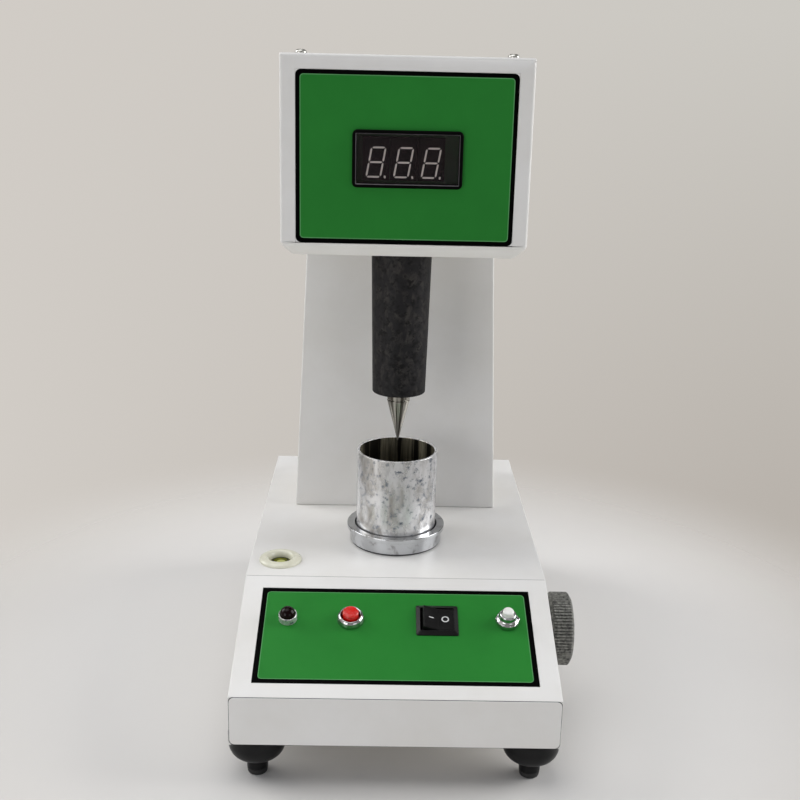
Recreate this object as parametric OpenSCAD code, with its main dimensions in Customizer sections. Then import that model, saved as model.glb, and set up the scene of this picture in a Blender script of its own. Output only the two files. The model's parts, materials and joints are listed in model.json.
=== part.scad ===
// Liquid and plastic limit tester: a bench instrument that lets a cone drop into a cup of soil and shows how
// deep it sinks. Millimetres, +Z up, front towards -Y. Heights start at the floor, and x = y = 0 is the cone's
// axis until placed() centres the model on its own box.

/* [Base] */
// Width of the base
base_w = 190; // [180:1:220]
// Depth of the base from front to rear
base_depth = 318; // [310:1:350]
// Height of the upright front face
front_h = 31; // [26:1:36]
// Height of the flat top above the underside of the base
base_h = 63.5; // [62:0.5:75]
// Level run of the sloping control panel
slope_depth = 90; // [86:1:94]
// From the front face back to the cone's axis
cup_setback = 153; // [150:1:160]
// Thickness of the painted sheet steel
sheet = 1.5; // [1.2:0.1:2]

/* [Clearances] */
// Gap at the seams between sheets and under what rests on them
seam = 0.3; // [0.2:0.05:0.4]
// Clearance round bolts and barrels in their holes
hole_gap = 0.1; // [0.05:0.05:0.2]
// Running clearance of shafts and rods in their bores
run_gap = 0.05; // [0.02:0.01:0.08]
// Clearance round buttons and other loose sliding pieces
slide_gap = 0.3; // [0.2:0.05:0.4]

/* [Feet] */
// Height of the base's underside above the floor
foot_h = 28; // [26:1:34]
// From the sides of the base to the axis of a foot
foot_side = 14.5; // [13:0.5:25]
// From the front and rear of the base to the axis of a foot
foot_end = 17; // [14:1:25]
// Diameter of the foot wheel's bowl
foot_wheel_d = 34; // [28:1:38]
// Diameter of the stem under the bowl
foot_stem_d = 12; // [11:0.5:16]
// Diameter of the stud that the wheel climbs on
foot_stud_d = 8; // [6:1:8]
// Height of the soft tip on the floor
foot_tip_h = 4; // [3:0.5:6]
// How far a foot screws out
foot_travel = 5; // [3:0.5:6]

/* [Control panel] */
// Bare margin at the sides of the panel
panel_side = 12.25; // [10:0.25:16]
// Bare margin above and below the panel
panel_end = 10.35; // [8:0.25:14]
// Thickness of the panel plates
panel_t = 1.5; // [1:0.1:2]
// Depth of a panel's face below the painted sheet
panel_sink = 0.2; // [0.1:0.05:0.5]
// Width of the ledge that a panel rests on
ledge_w = 4; // [3:0.5:5]
// Controls' line above the middle of the panel
control_up = 12; // [8:0.5:14]
// Indicator's axis from the panel's left edge
indicator_inset = 17.25; // [14:0.25:24]
// Reset button's axis from the panel's left edge
reset_inset = 55.25; // [45:0.25:60]
// Switch's middle from the panel's right edge
switch_inset = 57.75; // [48:0.25:60]
// Measure button's axis from the panel's right edge
measure_inset = 15; // [12:0.25:20]
// How far the buttons travel
button_travel = 2.5; // [1.5:0.25:3]
// Diameter of the indicator's bezel
indicator_d = 10.5; // [10.25:0.25:14]
// Diameter of the indicator's lens
lens_d = 9; // [8:0.25:9.5]
// Diameter of the reset button's ring
reset_ring_d = 15.2; // [14.5:0.1:18]
// Diameter of the reset button's cap
reset_cap_d = 10.5; // [8:0.25:10.75]
// Width of the measure button's hexagon collar across its corners
measure_collar_d = 15.25; // [14:0.25:18]
// Diameter of the measure button's cap
measure_cap_d = 6.8; // [6:0.1:7.5]
// Width of the switch's rim
switch_w = 25.6; // [25.4:0.1:28]
// Length of the switch's rim down the slope
switch_l = 24; // [22:0.1:25]
// Tilt of the rocker to each side
rocker_tilt = 10; // [8:1:11]

/* [Level] */
// Level's axis from the left side of the base
level_side = 20; // [18:0.5:30]
// Level's axis in front of the cone's axis
level_ahead = 39; // [20:1:45]
// Diameter of the level's ring
level_d = 30; // [26:0.5:34]
// Diameter of the level's window
level_window_d = 14; // [10:0.5:18]

/* [Lift] */
// Diameter of the drum under the platform
drum_d = 62; // [58:0.5:64]
// Height of the drum
drum_h = 9; // [8:0.5:12]
// Diameter of the platform's flange
platform_d = 65.8; // [64:0.2:70]
// Thickness of the platform's flange
platform_t = 3; // [2.5:0.25:4]
// Outside diameter of the sample cup
cup_od = 53.3; // [52:0.1:55]
// Inside diameter of the sample cup
cup_bore_d = 50; // [46:0.5:50.5]
// Height of the sample cup
cup_h = 53; // [48:0.5:56]
// Depth of the seat that holds the cup
seat_depth = 1; // [0.5:0.25:1.5]
// How far the platform rises
lift_travel = 22; // [15:1:22]
// Diameter of the lift post
post_d = 20; // [18:0.5:22]

/* [Lift drive] */
// Size of the gear teeth: pitch diameter over teeth
gear_module = 1.5; // [1.4:0.05:1.5]
// Teeth on the pinion
pinion_teeth = 14; // [14:1:16]
// Teeth on the idler gear
idler_teeth = 32; // [28:2:32]
// Width of the teeth
gear_w = 8; // [6:0.5:9]
// Play between meshing teeth, at the pitch line
backlash = 0.3; // [0.2:0.05:0.4]
// Height of the knob's axis above the base's underside
drive_h = 31.5; // [30:0.5:32]
// Diameter of the knob's shaft and of the idler's pin
shaft_d = 8; // [6:0.5:9]
// Thickness of the gear bracket
bracket_t = 3; // [2:0.5:4]
// Diameter of the knob
knob_d = 46; // [40:1:50]
// Thickness of the knob
knob_w = 14.5; // [12:0.5:18]
// Grooves in the knob's knurl
knurl_count = 54; // [45:3:90]
// Depth of the knurl's grooves
knurl_depth = 0.8; // [0.5:0.1:1]

/* [Column] */
// Height of the column
column_h = 202.5; // [190:0.5:230]
// Width of the column at its foot
column_w = 145; // [135:1:160]
// Width of the column under the head
column_top_w = 127.5; // [110:0.5:135]
// From the cone's axis back to the column's front
column_setback = 58; // [52:1:62]
// Depth of the column
column_depth = 80; // [70:1:84]

/* [Head] */
// Width of the head
head_w = 144; // [140:0.5:160]
// Height of the head with its lid
head_h = 114; // [108:0.5:125]
// From the head's front back to the cone's axis
head_reach = 60; // [57:1:66]
// Slanted bottom edge of the head
head_chamfer = 7; // [4:0.5:8]
// Bare margin at the sides of the head's panel
head_panel_side = 9; // [8:0.25:14]
// Bare margin under the head's panel
head_panel_below = 8.5; // [7:0.25:12]
// Bare margin over the head's panel
head_panel_above = 8.5; // [5:0.25:10]
// Corner radius of the head's panel
panel_r = 3; // [1:0.5:5]
// Width of the display's bezel
bezel_w = 63.2; // [60:0.1:70]
// Height of the display's bezel
bezel_h = 32.4; // [32:0.1:40]
// Display's middle to the right of the head's middle
display_x = 1; // [-3:0.25:3]
// Width of the bezel's rim
bezel_rim = 2.4; // [2:0.1:3]
// Height of a digit
digit_h = 18; // [15:0.5:20]
// Width of a digit
digit_w = 9.5; // [8:0.25:10]
// Distance from digit to digit
digit_pitch = 15.8; // [15:0.1:17]
// Width of a segment
segment_w = 1.5; // [1:0.1:1.8]

/* [Cone] */
// Angle of the cone
cone_angle = 30; // [28:1:32]
// Diameter of the cone at its shoulder
cone_d = 15; // [13:0.5:16]
// Gap from the cup's rim up to the cone's tip
tip_gap = 6.2; // [5:0.1:8]
// How far the cone drops
cone_travel = 22; // [15:1:22]
// Diameter of the cone's rod
rod_d = 8; // [6:0.5:9]
// Diameter of the sleeve at its lower end
sleeve_d = 34.7; // [32:0.1:38]
// Diameter of the sleeve under the head
sleeve_top_d = 38.7; // [36:0.1:42]
// Bore of the sleeve
sleeve_bore = 16; // [14:0.5:18]
// Diameter of the holding magnet
magnet_d = 36; // [30:1:38]
// Height of the holding magnet
magnet_h = 26; // [22:1:28]

/* [Rear and electrics] */
// Depth of the mains inlet's socket
inlet_depth = 16; // [14:0.5:18]
// How far the fuse cap stands out at the rear
fuse_cap_h = 7; // [5:0.5:9]
// Diameter of the fuse cap
fuse_cap_d = 13; // [11:0.5:15]
// Height of the main board's spacers
spacer_h = 8; // [6:0.5:10]
// Thickness of the circuit boards
board_t = 1.6; // [1.2:0.2:2]

/* [Hidden] */
$fn = 64;
// Reach of cutting shapes past the face that they cut
cut = 1;

// Base levels and edges
top_z = foot_h + base_h;
front_y = -cup_setback;
rear_y = front_y + base_depth;
bend_y = front_y + slope_depth;
slope_angle = atan((base_h - front_h) / slope_depth);
slope_len = norm([slope_depth, base_h - front_h]);
floor_z = foot_h + sheet;
ceiling_z = top_z - sheet;
tray_x = base_w / 2 - sheet - seam;
tray_flange_h = 18;
tray_front_z = foot_h + front_h - sheet / cos(slope_angle) - seam;

// Feet
foot_x = base_w / 2 - foot_side;
foot_front_y = front_y + foot_end;
foot_rear_y = rear_y - foot_end;
foot_spots = [
    [-foot_x, foot_front_y], [foot_x, foot_front_y],
    [-foot_x, foot_rear_y], [foot_x, foot_rear_y]];
foot_head_h = 5.3;
foot_engage = 8;
foot_stud_end = foot_h - foot_travel - foot_engage;
foot_bowl_z = foot_h - 17;
foot_spigot_r = 3;
foot_spigot_h = 4.5;

// Control panel, measured down the slope from the bend
panel_w = base_w - 2 * panel_side;
panel_l = slope_len - 2 * panel_end;
panel_mid = slope_len / 2;
control_s = panel_mid - control_up;
indicator_x = indicator_inset - panel_w / 2;
reset_x = reset_inset - panel_w / 2;
switch_x = panel_w / 2 - switch_inset;
measure_x = panel_w / 2 - measure_inset;
panel_back = -panel_sink - panel_t;
indicator_barrel_r = 4;
indicator_rim_h = 5;
lens_stem_r = 3.1;
reset_barrel_r = 6;
reset_ring_h = 3.5;
reset_proud = 4;
measure_barrel_r = 5;
measure_collar_h = 3.2;
measure_proud = 7;
barrel_depth = 18;
cap_foot = 4;
well_depth = cap_foot + button_travel + 2.5;
terminal_t = 0.8;
lens_stem = 8;
nut_t = 2.5;
switch_rim_h = 1.8;
switch_wall = 1.8;
switch_body_w = switch_w - 1.6;
switch_body_l = switch_l - 2.5;
switch_depth = 20;
switch_floor = 11;
rocker_w = switch_w - 2 * switch_wall - 2.8;
rocker_l = switch_body_l - 2 * switch_wall - 2 * slide_gap;
rocker_pivot = -3;
rocker_edge = 3.2;
rocker_dip = 1.3;
rocker_pin_r = 1.5;
rocker_bevel = 3;

// Level
level_x = level_side - base_w / 2;
level_y = -level_ahead;
level_h = 4;
level_body_r = level_window_d / 2 + 3.5;
level_body_h = 11;
level_vial_h = 8;

// Lift
platform_z = top_z + seam;
flange_z = platform_z + drum_h;
platform_top = flange_z + platform_t;
seat_z = platform_top - seat_depth;
rim_z = seat_z + cup_h;
cup_floor = 2;
hollow_h = 5.6;
hollow_r = drum_d / 2 - 6;
bush_flange_r = hollow_r - 3;
bush_flange_t = 3;
bush_r = post_d / 2 + 4;
bush_screw_pcr = (bush_r + bush_flange_r) / 2;
bush_screw_r = 1.6;
bush_screw_head_r = 2.8;
bush_screw_head_h = 1.4;
post_spigot_r = 6;
post_spigot_h = 3.5;
bush_end_z = foot_h + 17;

// Lift drive: pinion on the knob's shaft, idler, then the rack cut in the post's front
stub_add = 0.8 * gear_module;
stub_ded = gear_module;
pressure = 20;
tooth_pitch = PI * gear_module;
pinion_r = gear_module * pinion_teeth / 2;
idler_r = gear_module * idler_teeth / 2;
rack_y = -post_d / 2 + 2.5;
idler_y = rack_y - idler_r;
drive_y = idler_y - idler_r - pinion_r;
drive_z = foot_h + drive_h;
rack_engage = 6;
post_end_z = drive_z - lift_travel - rack_engage;
idler_tip_r = idler_r + stub_add;
rack_tip_y = rack_y - stub_add;
rack_reach = sqrt(idler_tip_r ^ 2 - (rack_tip_y - idler_y) ^ 2);
rack_top_z = drive_z + sqrt(idler_tip_r ^ 2 - (post_d / 2 + idler_y) ^ 2) + 1;
rack_shift = idler_teeth % 2 == 0 ? 0 : tooth_pitch / 2;
cheek_x = gear_w / 2 + 2;
hub_reach = cheek_x - seam;
pinion_hub_r = shaft_d / 2 + 3;
idler_hub_r = shaft_d / 2 + 4;
bracket_half_w = bush_flange_r;
bracket_top = ceiling_z - bracket_t;
bracket_front_y = drive_y - pinion_r - 3;
bracket_rear_y = -bush_r - 3;
bracket_low_z = drive_z - 15;
bracket_front_z = drive_z + 14;
idler_slot = gear_w / 2 + 1.5;
pin_head_r = shaft_d / 2 + 2;
pin_head_t = 2;
bush_wall = 2;
shaft_bush_r = shaft_d / 2 + bush_wall;
shaft_bush_flange_r = shaft_bush_r + 3;
shaft_bush_flange_t = 1.2;
shaft_bush_len = 8;
knob_x = base_w / 2 + shaft_bush_flange_t + 0.8;
knob_end = knob_x + knob_w;
knob_rim = 1.5;
knob_step = 0.3;
shaft_socket = knob_w - 3.5;
shaft_left = -cheek_x - bracket_t - 2;

// Column and head
column_y = column_setback;
column_rear = column_y + column_depth;
head_z = top_z + column_h;
head_front = -head_reach;
head_floor = head_z + sheet;
lid_z = head_z + head_h - sheet;
flange_in = 18;
flange_plate = 2;
bolt_r = 2.5;
bolt_head_r = 4.6;
bolt_head_h = 3.5;
bolt_inset = 9;
lower_bolt_x = column_w / 2 - sheet - bolt_inset;
upper_bolt_x = column_top_w / 2 - sheet - bolt_inset;
bolt_front_y = column_y + sheet + bolt_inset;
bolt_rear_y = column_rear - 2 * bolt_inset;
cable_hole_r = 10;
cable_y = column_y + column_depth / 2;
lug = 12;
lug_t = 2;
column_lug_low = top_z + 20;
column_lug_high = head_z - 20;
lid_screw_inset = 10.5;
lid_screw_x = head_w / 2 - lid_screw_inset;
lid_screw_front = head_front + 25;
lid_screw_rear = column_rear - 25;
head_panel_w = head_w - 2 * head_panel_side;
head_panel_h = head_h - head_panel_below - head_panel_above;
head_panel_mid = head_panel_below + head_panel_h / 2;

// Display, measured on the head's front face
bezel_proud = 2;
bezel_r = 2.5;
bezel_body_w = bezel_w - 3.4;
bezel_body_h = bezel_h - 3.4;
bezel_back = -6;
window_w = bezel_w - 2 * bezel_rim;
window_h = bezel_h - 2 * bezel_rim;
window_t = 1.5;
window_front = 0.8;
window_back = window_front - window_t;
digit_slant = 10;
digit_shift = -2.2;
segment_t = 0.3;
segment_gap = 0.35;
module_w = digit_pitch - 0.4;
module_h = digit_h + 6;
module_t = 8;
module_front = window_back - segment_t;

// Cone, sleeve and what holds the cone
cone_len = cone_d / 2 / tan(cone_angle / 2);
tip_z = rim_z + tip_gap;
shoulder_z = tip_z + cone_len;
collar_h = 6;
collar_z = shoulder_z + collar_h;
sleeve_z = collar_z + 0.5;
sleeve_flange_t = 3;
sleeve_flange_r = sleeve_top_d / 2 + 9;
sleeve_top = head_floor + sleeve_flange_t;
sleeve_bolt_pcr = sleeve_top_d / 2 + 4.8;
sleeve_bush_h = 10;
rod_thread = 8;
armature_t = 5;
armature_r = magnet_d / 2 - 4;
armature_z = sleeve_top + 4.5 + cone_travel;
magnet_z = armature_z + armature_t + seam;
magnet_top = magnet_z + magnet_h;
carrier_t = 3;
carrier_x = sleeve_flange_r + 4;
carrier_half_y = 15;
carrier_foot = 12;
sensor_z = magnet_top + carrier_t;
sensor_top = lid_z - 5;
sensor_r = 11;
core_r = rod_d / 2 - 1;
core_gap = 1;
rod_top = sensor_top - 6;

// Electrics in the base
inlet_inset = 45;
inlet_x = inlet_inset - base_w / 2;
inlet_z = foot_h + 32;
inlet_w = 48;
inlet_h = 24;
inlet_flange_t = 3;
inlet_body_w = 27;
inlet_body_h = 19.4;
socket_w = 24;
socket_h = 16.4;
inlet_body_depth = inlet_depth + 6;
fuse_x = 5;
fuse_body_r = fuse_cap_d / 2 - 1;
fuse_body_len = 26;
core_w = 62;
core_d = 32;
core_h = 46;
coil_d = 46;
transformer_spot = [-45, 75];
board_w = 80;
board_d = 70;
board_spot = [40, 75];
board_inset = 5;
chip_w = 24;
chip_d = 10;
chip_h = 4;
large_can_r = 8;
large_can_h = 22;
small_can_r = 5;
small_can_h = 14;
sink_w = 20;
sink_d = 6;
sink_h = 22;
spacer_r = 3;

// Screws of the casing
screw_r = 1.5;
screw_head_r = 3;
screw_head_h = 2.2;
screw_len = 7;
side_screw_z = foot_h + 11;
side_screw_ys = [front_y + 60, rear_y - 50];

// The box that the finished model is centred on
left_reach = base_w / 2 + max(screw_head_h, foot_wheel_d / 2 - foot_side);
front_reach = cup_setback + max(0, foot_wheel_d / 2 - foot_end);
rear_reach = rear_y + max(fuse_cap_h, inlet_flange_t, foot_wheel_d / 2 - foot_end);
centre_x = (knob_end - left_reach) / 2;
centre_y = (rear_reach - front_reach) / 2;

// Colours
paint = [0.89, 0.88, 0.86];
green = [0.16, 0.5, 0.2];
black = [0.08, 0.08, 0.08];
steel = [0.62, 0.63, 0.64];
chrome = [0.8, 0.81, 0.82];
brass = [0.75, 0.62, 0.32];

FOOT_NAMES = ["front_left", "front_right", "rear_left", "rear_right"];

// Moves the model so that its box is centred on the origin and stands on z = 0.
module placed() {
    translate([-centre_x, -centre_y, 0]) children();
}

// Box between two corners.
module block(low, high) {
    translate(low) cube(high - low);
}

// Shape drawn with y and z as its axes, drawn out along X about the mid-plane.
module along_x(length) {
    rotate([90, 0, 90]) linear_extrude(length, center = true) children();
}

// Shape drawn with x and z as its axes, drawn out along Y from y0 to y1.
module along_y(y0, y1) {
    translate([0, y1, 0]) rotate([90, 0, 0]) linear_extrude(y1 - y0) children();
}

// Round bar along X.
module bar_x(x0, x1, y, z, r) {
    translate([x0, y, z]) rotate([0, 90, 0]) cylinder(r = r, h = x1 - x0);
}

// Round bar along Y.
module bar_y(y0, y1, x, z, r) {
    translate([x, y1, z]) rotate([90, 0, 0]) cylinder(r = r, h = y1 - y0);
}

// Round bar along Z.
module bar_z(z0, z1, x, y, r) {
    translate([x, y, z0]) cylinder(r = r, h = z1 - z0);
}

// Frame of the sloping panel: x to the right, y up the slope from the bend, z out of the face.
module on_slope() {
    translate([0, bend_y, top_z]) rotate([slope_angle, 0, 0]) children();
}

// Frame of one control on the slope.
module at_control(x) {
    on_slope() translate([x, -control_s, 0]) children();
}

// Frame of the head's front face: x to the right, y up from the middle of its panel, z out of the face.
module on_front() {
    translate([0, head_front, head_z + head_panel_mid]) rotate([90, 0, 0]) children();
}

// Frame of the display in that face.
module at_display() {
    on_front() translate([display_x, 0, 0]) children();
}

// Rectangle with round corners, centred.
module round_rectangle(w, h, r) {
    square([w, h - 2 * r], center = true);
    square([w - 2 * r, h], center = true);
    for (x = [-1, 1], y = [-1, 1]) translate([x * (w / 2 - r), y * (h / 2 - r)]) circle(r);
}

// Plate between two heights, with a centred rectangle as its outline.
module plate(w, h, z0, z1) {
    translate([-w / 2, -h / 2, z0]) cube([w, h, z1 - z0]);
}

// Pan-head screw with a cross recess, head up, its seat at z = 0.
module pan_screw() {
    slot = 0.8;
    difference() {
        union() {
            cylinder(r = screw_head_r, h = screw_head_h / 2);
            translate([0, 0, screw_head_h / 2])
                cylinder(r1 = screw_head_r, r2 = screw_head_r * 0.6, h = screw_head_h / 2);
        }
        plate(screw_head_r, slot, screw_head_h / 2, screw_head_h + cut);
        plate(slot, screw_head_r, screw_head_h / 2, screw_head_h + cut);
    }
    translate([0, 0, -screw_len]) cylinder(r = screw_r, h = screw_len);
}

// Hexagon-head bolt, head up, its seat at z = 0 and its end at -length.
module hex_bolt(length) {
    cylinder(r = bolt_head_r, h = bolt_head_h, $fn = 6);
    translate([0, 0, -length]) cylinder(r = bolt_r, h = length);
}

// Hexagon nut with its upper face at z = 0.
module hex_nut(corner_r, bore_r, t) {
    translate([0, 0, -t]) difference() {
        cylinder(r = corner_r, h = t, $fn = 6);
        translate([0, 0, -cut]) cylinder(r = bore_r + run_gap, h = t + 2 * cut);
    }
}

// Places of the casing's screws, each with its head outwards.
module at_case_screws() {
    for (side = [-1, 1], y = [lid_screw_front, lid_screw_rear])
        translate([side * lid_screw_x, y, lid_z + sheet]) children();
    for (side = [-1, 1], y = side_screw_ys)
        translate([side * base_w / 2, y, side_screw_z]) rotate([0, side * 90, 0]) children();
    for (side = [-1, 1], z = [column_lug_low, column_lug_high])
        translate([side * column_lug_x(z), column_rear, z]) rotate([-90, 0, 0]) children();
}

module screw_holes() {
    at_case_screws() translate([0, 0, -screw_len - cut])
        cylinder(r = screw_r + hole_gap, h = screw_len + 2 * cut);
}

// Places of the bolts that hold the column to the base and the head to the column.
module at_lower_bolts(z) {
    for (side = [-1, 1], y = [bolt_front_y, bolt_rear_y]) translate([side * lower_bolt_x, y, z]) children();
}

module at_upper_bolts(z) {
    for (side = [-1, 1], y = [bolt_front_y, bolt_rear_y]) translate([side * upper_bolt_x, y, z]) children();
}

module at_sleeve_bolts(z) {
    for (turn = [90, 210, 330]) rotate(turn) translate([sleeve_bolt_pcr, 0, z]) children();
}

module at_bush_screws(z) {
    for (turn = [45:90:315]) rotate(turn) translate([bush_screw_pcr, 0, z]) children();
}

module bolt_hole() {
    translate([0, 0, -4 * sheet]) cylinder(r = bolt_r + hole_gap, h = 8 * sheet);
}

// Half width of the column at a height, and the place of its rear lugs there.
function column_half(z) = (column_w + (column_top_w - column_w) * (z - top_z) / column_h) / 2;
function column_lug_x(z) = column_half(z) - sheet - lug / 2;

// Gear outline with stub involute teeth, the first tooth centred on the x axis.
function polar(r, a) = [r * cos(a), r * sin(a)];
function inv(a) = tan(a) * 180 / PI - a;
function gear_half_angle(r, teeth, rho) =
    let (base_r = r * cos(pressure), rho_in = max(rho, base_r))
    (tooth_pitch - backlash) / 4 / r * 180 / PI + inv(pressure) - inv(acos(min(1, base_r / rho_in)));
function gear_radii(r) =
    let (low = max(r - stub_ded + 0.01, r * cos(pressure)), high = r + stub_add)
    concat([r - stub_ded], [for (i = [0:3]) low + (high - low) * i / 3]);
function gear_outline(r, teeth) =
    let (radii = gear_radii(r), last = len(radii) - 1)
    [for (k = [0:teeth - 1], side = [-1, 1], i = [0:last])
        let (rho = radii[side < 0 ? i : last - i])
        polar(rho, 360 * k / teeth + side * gear_half_angle(r, teeth, rho))];

// Base: tray, cover and feet

module base_tray() {
    rear_top = ceiling_z - seam;
    color(paint) difference() {
        union() {
            block([-tray_x, front_y, foot_h], [tray_x, rear_y, floor_z]);
            block([-tray_x, front_y, foot_h], [tray_x, front_y + sheet, tray_front_z]);
            block([-tray_x, rear_y - sheet, foot_h], [tray_x, rear_y, rear_top]);
            for (side = [-1, 1]) translate([side * (tray_x - sheet / 2), 0, 0])
                block([-sheet / 2, front_y, foot_h], [sheet / 2, rear_y, foot_h + tray_flange_h]);
        }
        for (spot = foot_spots) bar_z(foot_h - cut, floor_z + cut, spot.x, spot.y, foot_stud_d / 2 + hole_gap);
        screw_holes();
        translate([inlet_x, 0, inlet_z]) block(
            [-inlet_body_w / 2 - hole_gap, rear_y - sheet - cut, -inlet_body_h / 2 - hole_gap],
            [inlet_body_w / 2 + hole_gap, rear_y + cut, inlet_body_h / 2 + hole_gap]);
        bar_y(rear_y - sheet - cut, rear_y + cut, fuse_x, inlet_z, fuse_body_r + hole_gap);
    }
}

module base_profile() {
    polygon([
        [front_y, foot_h], [front_y, foot_h + front_h], [bend_y, top_z], [rear_y, top_z], [rear_y, foot_h]]);
}

// Inside of the cover: open at the front, the rear and below.
module base_hollow() {
    drop = sheet / cos(slope_angle);
    front_in = foot_h + front_h - drop;
    bend_in = bend_y + sheet * tan(slope_angle / 2);
    polygon([
        [front_y - cut, foot_h - cut], [front_y - cut, front_in - cut * tan(slope_angle)],
        [bend_in, ceiling_z], [rear_y + cut, ceiling_z], [rear_y + cut, foot_h - cut]]);
}

module base_cover() {
    window_l = panel_l + 2 * hole_gap;
    window_wide = panel_w + 2 * hole_gap;
    ledge_back = panel_back - sheet;
    color(paint) difference() {
        union() {
            difference() {
                along_x(base_w) base_profile();
                along_x(base_w - 2 * sheet) base_hollow();
            }
            on_slope() translate([0, -panel_mid, 0]) difference() {
                plate(window_wide + 2 * ledge_w, window_l + 2 * ledge_w, ledge_back, -sheet / 2);
                plate(window_wide - 2 * ledge_w, window_l - 2 * ledge_w, ledge_back - cut, cut);
            }
        }
        on_slope() translate([0, -panel_mid, 0]) plate(window_wide, window_l, panel_back, cut);
        bar_z(ceiling_z - cut, top_z + cut, level_x, level_y, level_body_r + hole_gap);
        bar_z(ceiling_z - cut, top_z + cut, 0, 0, bush_r + hole_gap);
        bar_z(ceiling_z - cut, top_z + cut, 0, cable_y, cable_hole_r);
        at_bush_screws(ceiling_z - cut) cylinder(r = bush_screw_r + hole_gap, h = sheet + 2 * cut);
        at_lower_bolts(top_z) bolt_hole();
        bar_x(base_w / 2 - sheet - cut, base_w / 2 + cut, drive_y, drive_z, shaft_bush_r + hole_gap);
        screw_holes();
    }
}

module case_screws() {
    color(chrome) at_case_screws() pan_screw();
}

// Bolts whose heads lie in the tray and whose shanks point down.
module foot_studs() {
    color(steel) for (spot = foot_spots) {
        bar_z(foot_stud_end, floor_z, spot.x, spot.y, foot_stud_d / 2);
        translate([spot.x, spot.y, floor_z]) cylinder(r = foot_stud_d * 0.9, h = foot_head_h, $fn = 6);
    }
}

module foot_wheel(i) {
    stem_r = foot_stem_d / 2;
    bowl_r = foot_wheel_d / 2;
    bowl_top = foot_h - seam;
    bore_r = foot_stud_d / 2 + run_gap;
    socket_top = foot_tip_h + foot_spigot_h + slide_gap;
    color(black) translate([foot_spots[i].x, foot_spots[i].y, 0]) difference() {
        rotate_extrude() polygon([
            [0, foot_tip_h], [stem_r - 0.5, foot_tip_h], [stem_r, foot_tip_h + 0.5], [stem_r, foot_bowl_z],
            [bowl_r - 7, foot_bowl_z + 1.5], [bowl_r - 3, foot_bowl_z + 5], [bowl_r - 0.8, foot_bowl_z + 10],
            [bowl_r, bowl_top - 3.5], [bowl_r, bowl_top - 1], [bowl_r - 1, bowl_top], [0, bowl_top]]);
        translate([0, 0, foot_stud_end - 2]) cylinder(r = bore_r, h = foot_h);
        translate([0, 0, foot_tip_h - cut])
            cylinder(r = foot_spigot_r + run_gap, h = socket_top - foot_tip_h + cut);
    }
}

module foot_tip(i) {
    tip_r = foot_stem_d / 2 - 0.4;
    tip_top = foot_tip_h - 0.2;
    color([0.13, 0.13, 0.13]) translate([foot_spots[i].x, foot_spots[i].y, 0]) {
        rotate_extrude() polygon([
            [0, 0], [tip_r - 1.5, 0], [tip_r, 1.5], [tip_r, tip_top], [foot_spigot_r, tip_top],
            [foot_spigot_r, foot_tip_h + foot_spigot_h], [0, foot_tip_h + foot_spigot_h]]);
    }
}

// Control panel and its controls

module control_panel() {
    color(green) difference() {
        on_slope() translate([0, -panel_mid, 0]) plate(panel_w, panel_l, panel_back, -panel_sink);
        at_control(indicator_x) bolt_through(indicator_barrel_r);
        at_control(reset_x) bolt_through(reset_barrel_r);
        at_control(measure_x) bolt_through(measure_barrel_r);
        at_control(switch_x)
            plate(switch_body_w + 2 * hole_gap, switch_body_l + 2 * hole_gap, panel_back - cut, cut);
    }
}

// Hole through the panel for a barrel.
module bolt_through(r) {
    translate([0, 0, panel_back - cut]) cylinder(r = r + hole_gap, h = panel_t + 2 * cut);
}

module indicator_bezel() {
    rim_top = indicator_rim_h - panel_sink;
    color(chrome) at_control(indicator_x) difference() {
        rotate_extrude() polygon([
            [0, -barrel_depth], [indicator_barrel_r, -barrel_depth], [indicator_barrel_r, -panel_sink],
            [indicator_d / 2, -panel_sink], [indicator_d / 2, rim_top - 0.6], [indicator_d / 2 - 0.6, rim_top],
            [0, rim_top]]);
        translate([0, 0, -barrel_depth - cut])
            cylinder(r = lens_stem_r + run_gap, h = barrel_depth + indicator_rim_h + 2 * cut);
    }
}

module indicator_lens() {
    rim_top = indicator_rim_h - panel_sink;
    color([0.4, 0.05, 0.05]) at_control(indicator_x) {
        translate([0, 0, -lens_stem]) cylinder(r = lens_stem_r, h = rim_top + lens_stem);
        translate([0, 0, rim_top]) intersection() {
            sphere(lens_d / 2);
            cylinder(r = lens_d, h = lens_d);
        }
    }
}

// Pair of flat terminals under a button or a switch.
module terminals(spread, depth, w, out) {
    for (side = [-1, 1]) translate([side * spread, 0, -depth - out]) plate(terminal_t, w, 0, out + cut);
}

// Ring, threaded barrel and terminals of a push button, with a well for its cap.
module reset_button_body() {
    ring_r = reset_ring_d / 2;
    ring_top = reset_ring_h - panel_sink;
    color(chrome) at_control(reset_x) {
        difference() {
            rotate_extrude() polygon([
                [0, -barrel_depth], [reset_barrel_r, -barrel_depth], [reset_barrel_r, -panel_sink],
                [ring_r, -panel_sink], [ring_r, ring_top - 1.5], [ring_r - 1.2, ring_top], [0, ring_top]]);
            translate([0, 0, -well_depth])
                cylinder(r = reset_cap_d / 2 + slide_gap, h = well_depth + reset_ring_h + cut);
        }
        terminals(2.5, barrel_depth, 2.5, 5);
    }
}

module reset_button_cap() {
    top = reset_ring_h - panel_sink + reset_proud;
    r = reset_cap_d / 2;
    color([0.75, 0.1, 0.07]) at_control(reset_x) rotate_extrude() polygon([
        [0, -cap_foot], [r, -cap_foot], [r, top - 1.2], [r - 0.4, top - 0.4], [r - 1.2, top], [0, top]]);
}

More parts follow.
